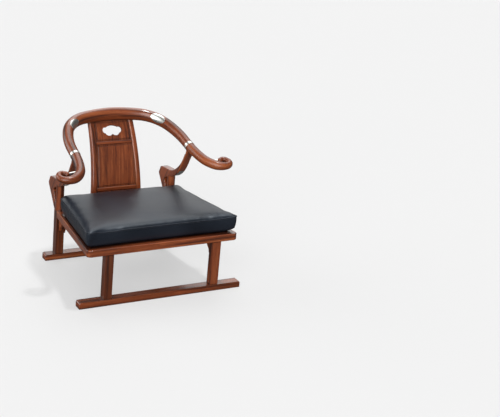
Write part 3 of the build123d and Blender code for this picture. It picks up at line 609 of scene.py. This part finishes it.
def plan_place(s):
    """Plan position and heading (clockwise from +X) at a distance along the right half."""
    x, y, heading = 0.0, RAIL_BACK, 0.0
    for radius, turn in RAIL_ARCS:
        length = arc_length(radius, turn)
        part = min(s, length)
        if radius is None:
            x += part * math.cos(heading)
            y -= part * math.sin(heading)
        else:
            bend = math.radians(turn) * part / length
            chord = 2 * radius * math.sin(abs(bend) / 2)
            x += chord * math.cos(heading + bend / 2)
            y -= chord * math.sin(heading + bend / 2)
            heading += bend
        s -= part
        if s <= 0:
            return x, y, heading
    return x + s * math.cos(heading), y - s * math.sin(heading), heading


def rail_sizes(distance, rail):
    """Half height and half thickness of the rail's section."""
    round_stops = ((BAND_PLACE, rail.arm), (HAND_END, rail.hand), (SCROLL_START, rail.scroll),
                   (RAIL_END, rail.eye))
    stops = ((0.0, rail.crest_height, rail.crest_thickness),
             (SCARF_PLACE, rail.plate_height, rail.plate_thickness),
             *((place, radius + OVAL, radius) for place, radius in round_stops))
    for (s0, h0, t0), (s1, h1, t1) in zip(stops, stops[1:]):
        if distance <= s1:
            break
    share = (distance - s0) / (s1 - s0)
    return h0 + (h1 - h0) * share, t0 + (t1 - t0) * share


def rail_place(distance, rail):
    """Centre, directions and half sizes of the rail; a negative distance is the left half."""
    hand, s = (-1 if distance < 0 else 1), abs(distance)
    x, y, heading = plan_place(s)
    back = y - plan_place(BAND_PLACE)[1]
    run = -math.sin(heading) * hand
    ahead = Vector((math.cos(heading), run, (rail.rise + 2 * rail.bow * back) * run)).normalized()
    inwards = Vector((ahead.y, -ahead.x, 0)).normalized()
    high, thick = rail_sizes(min(s, RAIL_END), rail)
    if s > RAIL_END - EYE_BALL:
        ball = math.sqrt(max(0.0, EYE_BALL**2 - (s - RAIL_END)**2))
        past = s > RAIL_END
        high, thick = (ball, ball) if past else (max(high, ball), max(thick, ball))
    height = rail.band_height + rail.rise * back + rail.bow * back**2
    return SimpleNamespace(centre=Vector((hand * x, y, height)), ahead=ahead, inwards=inwards,
                           up=inwards.cross(ahead), half_height=high, half_thickness=thick,
                           along=distance)


PATH_FACTS = {"inwards": "FLOAT_VECTOR", "up": "FLOAT_VECTOR", "half_height": "FLOAT",
              "half_thickness": "FLOAT", "along": "FLOAT"}


def path_mesh(name, points, closed=False):
    """A line of edges whose points keep the frame and half sizes that they have."""
    count = len(points)
    edges = [(i, i + 1) for i in range(count - 1)] + ([(count - 1, 0)] if closed else [])
    mesh = bpy.data.meshes.new(name)
    mesh.from_pydata([point.centre for point in points], edges, [])
    for key, kind in PATH_FACTS.items():
        if hasattr(points[0], key):
            attribute = mesh.attributes.new(key, kind, "POINT")
            for point, value in zip(points, attribute.data):
                setattr(value, "value" if kind == "FLOAT" else "vector", getattr(point, key))
    return mesh


def oval_sweep(tree, given):
    """Carries an oval section along a path, with the frame and sizes kept on its points."""
    position = result(tree, "GeometryNodeInputPosition")

    def kept(name):
        return add_node(tree, "GeometryNodeInputNamedAttribute", {"Name": name},
                        data_type=PATH_FACTS[name]).outputs["Attribute"]

    def captured(geometry, label):
        node = add_node(tree, "GeometryNodeCaptureAttribute", {"Geometry": geometry})
        node.capture_items.new("VECTOR", label)
        tree.links.new(position, node.inputs[1])
        return node.outputs

    path = result(tree, "GeometryNodeMeshToCurve", {"Mesh": given["Path"]})
    circle = result(tree, "GeometryNodeCurvePrimitiveCircle",
                    {"Resolution": given["Faces around"], "Radius": 1.0}, mode="RADIUS")
    centre, section = captured(path, "Centre"), captured(circle, "Section")
    swept = result(tree, "GeometryNodeCurveToMesh",
                   {"Curve": centre[0], "Profile Curve": section[0], "Fill Caps": True})
    rim = add_node(tree, "ShaderNodeSeparateXYZ", {0: section[1]}).outputs
    aside = times(tree, rim[0], kept("half_thickness"))
    above = times(tree, rim[1], kept("half_height"))
    place = plus(tree, centre[1], scaled(tree, kept("inwards"), aside))
    place = plus(tree, place, scaled(tree, kept("up"), above))
    shaped = result(tree, "GeometryNodeSetPosition", {"Geometry": swept, "Position": place})
    straight = result(tree, "ShaderNodeCombineXYZ", {0: kept("along"), 1: aside, 2: above})
    timber = plus(tree, straight, given["Log shift"])
    grained = result(tree, "GeometryNodeStoreNamedAttribute",
                     {"Geometry": shaped, "Name": "timber", "Value": timber},
                     data_type="FLOAT_VECTOR", domain="POINT")
    return result(tree, "GeometryNodeMergeByDistance", {"Geometry": grained, "Distance": MERGE})


def sweep(name, points, finish, around, closed=False, shift=(0.0, 0.0, 0.0)):
    """A plain closed mesh: an oval carried along the points."""
    piece = follow(link(name, path_mesh(name, points, closed)), oval_sweep,
                   {"Faces around": "Int", "Log shift": "Vector"},
                   {"Faces around": around, "Log shift": shift, "Material": finish})
    attributes = piece.data.attributes
    for key in PATH_FACTS:
        if key in attributes:
            attributes.remove(attributes[key])
    with opened(piece.data) as work:
        bmesh.ops.remove_doubles(work, verts=work.verts, dist=MERGE)
        bmesh.ops.recalc_face_normals(work, faces=work.faces)
    smooth(piece.data, 50)
    return piece


def rail_points(start, end, rail):
    """Places along the rail at about the wanted pitch, ends included."""
    count = max(4, round((end - start) / rail.pitch))
    return [rail_place(start + (end - start) * i / count, rail) for i in range(count + 1)]


def closed_mesh(name, work, side):
    """A mesh from its corners and faces, on one half of the chair, with its faces outwards."""
    if side < 0:
        bmesh.ops.transform(work, matrix=MIRROR, verts=work.verts)
    bmesh.ops.recalc_face_normals(work, faces=work.faces)
    mesh = bpy.data.meshes.new(name)
    work.to_mesh(mesh)
    work.free()
    return mesh


def cut_lap(piece, rail, seam, side, upper):
    """Take away one half of the scarf joint and all that lies beyond it."""
    place = rail_place(SCARF_PLACE, rail)
    half, big, turn = SCARF_LENGTH / 2, CUTTER_REACH, -1 if upper else 1
    outline = [(-half, 0), (half, 0), (half, big), (big, big), (big, -big), (-half, -big)]
    work = bmesh.new()
    rims = [[work.verts.new(place.centre + place.ahead * (a * turn)
                            + place.up * ((b - seam / 2) * turn) + place.inwards * depth)
             for a, b in outline] for depth in (-big, big)]
    for rim in rims:
        work.faces.new(rim)
    for i in range(len(outline)):
        j = (i + 1) % len(outline)
        work.faces.new((rims[0][i], rims[0][j], rims[1][j], rims[1][i]))
    cutter = link("lap_cutter", closed_mesh("lap_cutter", work, side))
    boolean = piece.modifiers.new("cut", "BOOLEAN")
    boolean.operation = "DIFFERENCE"
    boolean.solver = "EXACT"
    boolean.object = cutter
    plain_mesh(piece)
    bpy.data.meshes.remove(cutter.data)
    smooth(piece.data, 50)


def half_rail(start, end, side, rail):
    """Rail places of one side, closer together in the scroll's rounded end."""
    if end > RAIL_END:
        points = rail_points(start, end - EYE_BALL, rail)
        for degrees in range(4, 91, 6):
            back = EYE_BALL * (1 - math.sin(math.radians(degrees)))
            points.append(rail_place(end - back, rail))
    else:
        points = rail_points(start, end, rail)
    if side < 0:
        for point in points:
            for direction in (point.centre, point.inwards, point.up):
                direction.x = -direction.x
    return points


class CHAIR_OT_rail(bpy.types.Operator):
    """Sweep the crest, the arms and the hand-rests with their scrolls"""
    bl_idname = "chair.make_rail"
    bl_label = "Horseshoe rail"

    def execute(self, context):
        chair = context.scene.horseshoe_chair
        rail, seam = chair.rail, chair.wood.seam
        deep = wood_material("rosewood_arm")
        spare = SCARF_LENGTH / 2 + SCARF_SPARE
        reach = SCARF_PLACE + spare
        crest = sweep("crest_rail_swept", rail_points(-reach, reach, rail),
                      wood_material("rosewood_shaped"), rail.around, shift=log_shift("crest"))
        for _, side in SIDES:
            cut_lap(crest, rail, seam, side, False)
        stand_for(crest, "crest_rail")
        lengths = (("arm", "rail", SCARF_PLACE - spare, BAND_PLACE),
                   ("hand", "rest", BAND_PLACE, RAIL_END + EYE_BALL))
        for label, side in SIDES:
            for limb, part, start, end in lengths:
                node = f"{limb}_{part}_{label}"
                piece = sweep(f"{node}_swept", half_rail(start, end, side, rail), deep,
                              rail.around, shift=log_shift(limb + label))
                if limb == "arm":
                    cut_lap(piece, rail, seam, side, True)
                stand_for(piece, node)
        return {"FINISHED"}


# ---------------- pieces in the frame's shape
class CHAIR_OT_frame(bpy.types.Operator):
    """Finish the runners, legs, seat frame, goose-necks, posts and brackets"""
    bl_idname = "chair.make_frame"
    bl_label = "Seat frame and legs"

    def execute(self, context):
        width = context.scene.horseshoe_chair.wood.softness
        for node in ("front_runner", "back_runner", "seat_front_rail", "seat_back_rail"):
            dress(node, "rosewood_x")
        shaped = wood_material("rosewood_shaped")
        for label, side in SIDES:
            dress(f"arm_post_{label}", "rosewood_z")
            for stem in ("front_leg", "back_leg"):
                # The left legs take the darker copy of the wood, which also paints the shade on
                # the back leg.
                dress(f"{stem}_{label}", "rosewood_dark_z" if side < 0 else "rosewood_z")
            for stem in ("seat_side_rail", "seat_batten"):
                dress(f"{stem}_{label}", "rosewood_y")
            for stem, soft, grain in (("goose_neck", width / 2, (0, -0.5, 0.87)),
                                      ("side_bracket", width, (0, 0.5, 0.87)),
                                      ("front_bracket", width, (0, 0.5, 0.87)),
                                      ("rear_bracket", width, (side * 0.7, 0, 0.7))):
                softened(f"{stem}_{label}", shaped, soft, grain)
        dress("seat_panel", "rosewood_board")
        return {"FINISHED"}


class CHAIR_OT_splat(bpy.types.Operator):
    """Finish the back splat's stiles, rails and fielded panels"""
    bl_idname = "chair.make_splat"
    bl_label = "Back splat"

    def execute(self, context):
        width = context.scene.horseshoe_chair.wood.softness
        shaped = wood_material("rosewood_shaped")
        board = wood_material("rosewood_splat")
        for label, _ in SIDES:
            softened(f"splat_stile_{label}", shaped, width / 2, flat=True)
        for node in ("splat_middle_rail", "splat_bottom_rail"):
            softened(node, shaped, width / 2, (1, 0, 0))
        for node in ("splat_upper_panel", "splat_lower_panel"):
            softened(node, board, width * 1.6, (0.03, -0.2, 1), 3, flat=True)
        softened("splat_foot_panel", board, width)
        return {"FINISHED"}


def scarf_peg(node, side, chair):
    """The outer half of a square peg: its end stands a hair proud, across from the plate."""
    place = rail_place(SCARF_PLACE, chair.rail)
    to_plate = place.inwards * math.cos(PLATE_TURN) + place.up * math.sin(PLATE_TURN)
    reach = to_plate * chair.rail.plate_height
    third = to_plate.cross(place.ahead) * PEG_WIDTH
    matrix = Matrix((place.ahead * PEG_WIDTH, third, reach)).transposed().to_4x4()
    matrix.translation = place.centre - reach / 2
    work = bmesh.new()
    bmesh.ops.create_cube(work, size=1.0, matrix=matrix)
    mesh = closed_mesh(node, work, side)
    mesh.materials.append(wood_material("rosewood_shaped"))
    keep_timber(mesh, to_plate, node)
    piece = link(f"{node}_finished", mesh)
    soften(piece, chair.wood.softness / 3)
    stand_for(piece, node)


class CHAIR_OT_metal(bpy.types.Operator):
    """Finish the plates, bands, strips, pins and the pegs of the scarf joints"""
    bl_idname = "chair.make_metal"
    bl_label = "Metal and pegs"

    def execute(self, context):
        chair = context.scene.horseshoe_chair
        metal = material("worn_metal", worn_metal)
        for label, side in SIDES:
            for stem in ("scarf_plate", "arm_band", "neck_upper_strip", "neck_lower_strip",
                         "scroll_pin"):
                softened(f"{stem}_{label}", metal, chair.metal.softness)
            scarf_peg(f"scarf_peg_{label}", side, chair)
        return {"FINISHED"}


# ---------------- cushion
CLOTH_PITCH = 0.0077  # size of one cloth face
RIM_ROUNDS = 10  # smoothing that rounds the rim's corners
PANEL_ROUNDS = 8  # smoothing of the filled panels
RIM_INSETS = (0.001, 0.002, 0.004)  # sides, front and back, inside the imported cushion
BORDER_TUCK = 0.007  # how far the border's foot pulls in
BORDER_SWELL = 0.0020  # how far its middle stands out
TOP_ROLL, FOOT_ROLL = 0.020, 0.034  # widths of the panels' rounded edges
DOME_ACROSS, DOME_FRONT, DOME_BACK = 3.2, 2.8, 5.0  # how square the crown is
TOP_CREASE, FOOT_CREASE = 0.55, 0.35  # how sharp the seams stay when they are smoothed
SEAT_GAP = 0.0003  # under the cushion
REST_BAND = 0.0006  # cloth this near to the seat stays where it is
PUCKER_NEAR, PUCKER_FAR = 0.001, 0.10  # where the creases begin and end, from the seam
PUCKER_FADE, PUCKER_START = 0.026, 0.008
PUCKERS_ALONG, PUCKERS_ACROSS = 38, 9  # creases per metre of seam, and away from it
WELT_STAND = 0.2  # share of its radius that the welt stands out from the seam
STITCH_RISE = 0.25  # share of the way from the row under the seam up to it
STITCH_SHARE, STITCH_WIDTH = 0.74, 0.0011
COVER = {"use_pressure": True, "vertex_group_mass": "resting", "quality": 6,
         "tension_stiffness": 25.0, "compression_stiffness": 25.0, "bending_stiffness": 1.5}
UP = Vector((0, 0, 1))


def stitch_row(tree, given):
    """Lays a row of small rounded stitches along a closed line."""
    path = result(tree, "GeometryNodeMeshToCurve", {"Mesh": given["Path"]})
    spots = add_node(tree, "GeometryNodeCurveToPoints", {"Curve": path, "Length": given["Pitch"]},
                     mode="LENGTH").outputs
    turned = result(tree, "FunctionNodeAlignRotationToVector", {"Vector": spots["Tangent"]},
                    axis="X")
    bead = result(tree, "GeometryNodeMeshUVSphere", {"Segments": 8, "Rings": 5, "Radius": 0.5})
    size = result(tree, "ShaderNodeCombineXYZ",
                  {0: times(tree, given["Pitch"], STITCH_SHARE), 1: STITCH_WIDTH,
                   2: STITCH_WIDTH})
    return result(tree, "GeometryNodeInstanceOnPoints",
                  {"Points": spots["Points"], "Instance": bead, "Rotation": turned,
                   "Scale": size})


def seat_top(y):
    """Height of the seat frame's top at a depth."""
    return SEAT_FRONT_HEIGHT - SEAT_SLOPE * (y - SEAT_FRONT)


def seam_plan(settings):
    """Plan of the top seam, with rounded corners: front, right, back, then left."""
    aside, before, behind = RIM_INSETS
    front, back = cushion_high.x - aside, settings.back_width / 2
    near, far = cushion_low.y + before, cushion_high.y - behind
    corners = [Vector(corner) for corner in
               ((-front, near), (front, near), (back, far), (-back, far))]
    points = []
    for side, count in enumerate((settings.across, settings.deep) * 2):
        start, end = corners[side], corners[(side + 1) % 4]
        inwards = Vector((start.y - end.y, end.x - start.x)).normalized()
        for i in range(count):
            pull = settings.hollow * math.sin(math.pi * i / count)
            points.append(start.lerp(end, i / count) + inwards * pull)
    total = len(points)
    for _ in range(RIM_ROUNDS):
        points = [(points[i - 1] + points[i] * 2 + points[(i + 1) % total]) / 4
                  for i in range(total)]
    return points


def rim_index(i, j, settings):
    """Place on the rim of a grid point on the edge of a panel, or nothing inside it."""
    across, deep = settings.across, settings.deep
    if j == 0:
        return i
    if i == across:
        return across + j
    if j == deep:
        return across + deep + across - i
    if i == 0:
        return (2 * across + deep + deep - j) % (2 * (across + deep))
    return None


def panel_point(i, j, rim, settings):
    """Plan of a point inside a panel, blended from the four edges."""
    across, deep = settings.across, settings.deep
    u, v = i / across, j / deep

    def edge(a, b):
        return rim[rim_index(a, b, settings)]

    blend = (edge(i, 0) * (1 - v) + edge(i, deep) * v + edge(0, j) * (1 - u)
             + edge(across, j) * u)
    corners = (edge(0, 0) * (1 - u) * (1 - v) + edge(across, 0) * u * (1 - v)
               + edge(across, deep) * u * v + edge(0, deep) * (1 - u) * v)
    return blend - corners, u, v


def sewn_box(settings):
    """The empty cover: a border between a top and a bottom panel, seamed on both rims."""
    rim = seam_plan(settings)
    total = len(rim)
    middle = sum(rim, Vector((0, 0))) / total
    mesh = bpy.data.meshes.new("seat_cushion_filled")
    with opened(mesh) as work:
        border = []
        for row in range(settings.rows + 1):
            share = row / settings.rows
            height = settings.foot + (settings.height - settings.foot) * share
            tuck = BORDER_TUCK * (1 - share)**2 - BORDER_SWELL * math.sin(math.pi * share)
            ring = []
            for point in rim:
                x, y = point + (middle - point).normalized() * tuck
                ring.append(work.verts.new((x, y, seat_top(y) + height)))
            border.append(ring)
        for low, high in zip(border, border[1:]):
            for i in range(total):
                j = (i + 1) % total
                work.faces.new((low[i], low[j], high[j], high[i]))
        crease = work.edges.layers.float.new("crease_edge")
        for ring, top, sharp in ((border[-1], True, TOP_CREASE),
                                 (border[0], False, FOOT_CREASE)):
            fill_panel(work, ring, top, rim, settings)
            for i in range(total):
                work.edges.get((ring[i], ring[(i + 1) % total]))[crease] = sharp
    pad = link("seat_cushion_filled", mesh)
    first = total * (settings.rows + 1) + (settings.across - 1) * (settings.deep - 1)
    resting = [vertex.index for vertex in mesh.vertices[first:]
               if vertex.co.z - seat_top(vertex.co.y) < REST_BAND]
    pad.vertex_groups.new(name="resting").add(resting, 1.0, "REPLACE")
    return pad


def fill_panel(work, ring, top, rim, settings):
    """Fill a ring of the border with the grid of a top or bottom panel."""
    across, deep = settings.across, settings.deep
    grid = {}
    for j in range(deep + 1):
        for i in range(across + 1):
            place = rim_index(i, j, settings)
            if place is not None:
                grid[i, j] = ring[place]
                continue
            (x, y), u, v = panel_point(i, j, rim, settings)
            edge = CLOTH_PITCH * min(i, across - i, j, deep - j)
            if top:
                roll = math.sqrt(1 - (1 - min(edge / TOP_ROLL, 1))**2)
                square = DOME_FRONT if v < 0.5 else DOME_BACK
                dome = (1 - abs(2 * u - 1)**DOME_ACROSS) * (1 - abs(2 * v - 1)**square)
                height = (settings.height + settings.shoulder * roll * (0.5 + 0.5 * v)
                          + settings.crown * dome)
            else:
                height = SEAT_GAP + settings.foot * max(0.0, 1 - edge / FOOT_ROLL)**2
            grid[i, j] = work.verts.new((x, y, seat_top(y) + height))
    for j in range(deep):
        for i in range(across):
            loop = (grid[i, j], grid[i + 1, j], grid[i + 1, j + 1], grid[i, j + 1])
            work.faces.new(loop if top else loop[::-1])


def fill_cover(pad, settings):
    """Simulate the filled cover, cap how far each point moves, and even out the panels."""
    start = [vertex.co.copy() for vertex in pad.data.vertices]
    cloth = pad.modifiers.new("cover", "CLOTH").settings
    for key, value in COVER.items():
        setattr(cloth, key, value)
    cloth.uniform_pressure_force = settings.pressure
    cloth.effector_weights.gravity = 0.0
    scene = bpy.context.scene
    for number in range(1, settings.frames + 1):
        scene.frame_set(number)
    plain_mesh(pad)
    scene.frame_set(1)
    for vertex, before in zip(pad.data.vertices, start):
        move = vertex.co - before
        if move.length > settings.swell:
            vertex.co = before + move.normalized() * settings.swell
    border = 2 * (settings.across + settings.deep) * (settings.rows + 1)
    with opened(pad.data) as work:
        work.verts.ensure_lookup_table()
        for _ in range(PANEL_ROUNDS):
            bmesh.ops.smooth_vert(work, verts=work.verts[border:], factor=0.5,
                                  use_axis_x=True, use_axis_y=True, use_axis_z=True)


def gather_seams(pad, settings):
    """Crease the cover a little where it runs into the seams, and keep it on the seat."""
    total = 2 * (settings.across + settings.deep)
    top = total * settings.rows
    vertices = pad.data.vertices
    seam = KDTree(total)
    for i in range(total):
        seam.insert(vertices[top + i].co, i)
    seam.balance()
    normals = [vertex.normal.copy() for vertex in vertices]
    for vertex, normal in zip(vertices, normals):
        _, nearest, distance = seam.find(vertex.co)
        if PUCKER_NEAR < distance < PUCKER_FAR:
            along = nearest * CLOTH_PITCH
            crease = fractal(Vector((along * PUCKERS_ALONG, distance * PUCKERS_ACROSS, 0)),
                             1.0, 2.0, 2)
            fade = math.exp(-distance / PUCKER_FADE) * min(1, distance / PUCKER_START)
            vertex.co += normal * settings.pucker * crease * fade
        vertex.co.z = max(vertex.co.z, seat_top(vertex.co.y) + SEAT_GAP)


def sew_seams(pad, settings):
    """Lay the welt on the top seam, and a row of stitches under it."""
    total = 2 * (settings.across + settings.deep)
    top = total * settings.rows
    seam = [vertex.co.copy() for vertex in pad.data.vertices[top:top + total]]
    under = [vertex.co.copy() for vertex in pad.data.vertices[top - total:top]]
    points = []
    for i, place in enumerate(seam):
        inwards = UP.cross((seam[(i + 1) % total] - seam[i - 1]).normalized()).normalized()
        points.append(SimpleNamespace(
            centre=place - inwards * settings.welt * WELT_STAND, inwards=inwards, up=UP,
            half_height=settings.welt, half_thickness=settings.welt,
            along=i * CLOTH_PITCH))
    welt = sweep("seat_cushion_welt", points, material("dark_leather", dark_leather), 10,
                 closed=True)
    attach(welt, CUSHION)
    row = [SimpleNamespace(centre=low.lerp(high, STITCH_RISE))
           for low, high in zip(under, seam)]
    name = "seat_cushion_stitches"
    stitches = follow(link(name, path_mesh(name, row, True)), stitch_row,
                      {"Pitch": "Float"}, {"Pitch": settings.stitch_pitch,
                                           "Material": material("dark_thread", dark_thread)})
    smooth(stitches.data, 60)
    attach(stitches, CUSHION)


class CHAIR_OT_cushion(bpy.types.Operator):
    """Fill the leather cushion, and sew its welt and stitches"""
    bl_idname = "chair.make_cushion"
    bl_label = "Seat cushion"

    def execute(self, context):
        settings = context.scene.horseshoe_chair.cushion
        pad = sewn_box(settings)
        if settings.simulate:
            fill_cover(pad, settings)
        gather_seams(pad, settings)
        sew_seams(pad, settings)
        detail = pad.modifiers.new("skin", "SUBSURF")
        detail.levels = detail.render_levels = 1
        smooth(pad.data, 180)
        pad.data.materials.append(material("dark_leather", dark_leather))
        stand_for(pad, "seat_cushion", CUSHION)
        return {"FINISHED"}


# ---------------- stage
SENSOR_WIDTH = 36.0  # millimetres
SIGHT = 200.0  # the farthest that the camera sees
FLOOR_REACH = 60.0
SUN_PLACE = Vector((0.24, 0.02, 1.0))
SUN_ANGLE = math.radians(5)
SOFT_LIGHTS = (  # direction, and where each is full and gone, degrees
    ("window", (-0.80, 0.58, 0.10), 24, 38),
    ("overhead", (0.26, 0.56, 0.79), 18, 26),
    ("front", (-0.50, -0.80, 0.32), 18, 40),
    ("back", (0.45, 0.86, 0.20), 12, 27))


def place_camera(scene, room):
    """The camera at its place."""
    data = bpy.data.cameras.new("camera")
    data.sensor_width = SENSOR_WIDTH
    data.lens = room.lens
    data.clip_end = SIGHT
    scene.camera = link("camera", data)
    turn = (Matrix.Rotation(room.azimuth, 4, "Z")
            @ Matrix.Rotation(math.pi / 2 - room.elevation, 4, "X")
            @ Matrix.Rotation(room.tilt, 4, "Z"))
    place = Vector(room.aim) + turn.to_3x3() @ UP * room.distance
    scene.camera.matrix_world = Matrix.Translation(place) @ turn


def lay_floor(room):
    """A wide floor: even grey with the chair's shadow for the camera, dim for the rest."""
    mesh = bpy.data.meshes.new("floor")
    corners = [(x * FLOOR_REACH, y * FLOOR_REACH, 0)
               for x, y in ((-1, -1), (1, -1), (1, 1), (-1, 1))]
    mesh.from_pydata(corners, [], [(0, 1, 2, 3)])
    paint = bpy.data.materials.new("floor")
    tree = empty_tree(paint)
    glow = result(tree, "ShaderNodeEmission", {"Strength": room.glow})
    matte, plain = [result(tree, "ShaderNodeBsdfDiffuse", {"Color": (grey, grey, grey, 1)})
                    for grey in (room.shadow_depth, room.bounce)]
    seen = result(tree, "ShaderNodeAddShader", {0: glow, 1: matte})
    end_tree(tree, seen, plain, "ShaderNodeOutputMaterial")
    mesh.materials.append(paint)
    link("floor", mesh)


def end_tree(tree, seen, other, output):
    """End a tree with one shader for the camera's rays and another for the rest."""
    camera = add_node(tree, "ShaderNodeLightPath").outputs["Is Camera Ray"]
    either = result(tree, "ShaderNodeMixShader", {0: camera, 1: other, 2: seen})
    add_node(tree, output, {"Surface": either})


def hang_sun(room):
    """A small lamp above the chair, for the shadow on the floor and lights on the rail."""
    lamp = bpy.data.lights.new("sun", "SUN")
    lamp.energy = room.sun
    lamp.angle = SUN_ANGLE
    link("sun", lamp).rotation_euler = (-SUN_PLACE).to_track_quat("-Z", "Y").to_euler()


def light_room(scene, room):
    """Soft round lights that fade at their edges, with a pale backdrop for the camera."""
    world = bpy.data.worlds.new("room")
    tree = empty_tree(world)
    toward = add_node(tree, "ShaderNodeTexCoord").outputs["Generated"]
    light = room.room_light
    for name, direction, full, gone in SOFT_LIGHTS:
        across = add_node(tree, "ShaderNodeVectorMath",
                          {0: toward, 1: Vector(direction).normalized()},
                          operation="DOT_PRODUCT").outputs["Value"]
        patch = spread(tree, across, math.cos(math.radians(gone)),
                       math.cos(math.radians(full)), 0.0, getattr(room, name))
        light = maths(tree, "ADD", light, patch)
    lit = result(tree, "ShaderNodeBackground", {"Color": (1, 1, 1, 1), "Strength": light})
    grey = room.backdrop
    seen = result(tree, "ShaderNodeBackground", {"Color": (grey, grey, grey, 1)})
    end_tree(tree, seen, lit, "ShaderNodeOutputWorld")
    scene.world = world


class CHAIR_OT_stage(bpy.types.Operator):
    """Set up the camera, the floor, the lamps and the world"""
    bl_idname = "chair.make_stage"
    bl_label = "Stage"

    def execute(self, context):
        room = context.scene.horseshoe_chair.room
        context.scene.view_settings.view_transform = "Standard"
        place_camera(context.scene, room)
        lay_floor(room)
        hang_sun(room)
        light_room(context.scene, room)
        return {"FINISHED"}


# ---------------- panel and start
class CHAIR_PT_panel(bpy.types.Panel):
    """Lists the chair's pieces and settings"""
    bl_idname = "CHAIR_PT_panel"
    bl_label = "Horseshoe armchair"
    bl_space_type = "VIEW_3D"
    bl_region_type = "UI"
    bl_category = "Chair"

    def draw(self, context):
        chair = context.scene.horseshoe_chair
        for operator in OPERATORS:
            self.layout.operator(operator.bl_idname)
        for group in (chair.room, chair.wood, chair.rail, chair.cushion, chair.metal):
            box = self.layout.box()
            for name in group.bl_rna.properties.keys():
                if name not in ("rna_type", "name"):
                    box.prop(group, name)


OPERATORS = (CHAIR_OT_stage, CHAIR_OT_rail, CHAIR_OT_frame, CHAIR_OT_splat, CHAIR_OT_metal,
             CHAIR_OT_cushion)
CLASSES = (RoomSettings, WoodSettings, RailSettings, CushionSettings, MetalSettings,
           ChairSettings, *OPERATORS, CHAIR_PT_panel)


def register():
    """Register the classes and the scene's settings."""
    for item in CLASSES:
        bpy.utils.register_class(item)
    bpy.types.Scene.horseshoe_chair = PointerProperty(type=ChairSettings)


def unregister():
    """Remove the classes and the scene's settings."""
    del bpy.types.Scene.horseshoe_chair
    for item in reversed(CLASSES):
        bpy.utils.unregister_class(item)


def main():
    """Build the chair."""
    register()
    for operator in OPERATORS:
        group, name = operator.bl_idname.split(".")
        getattr(getattr(bpy.ops, group), name)()


if __name__ == "__main__":
    main()
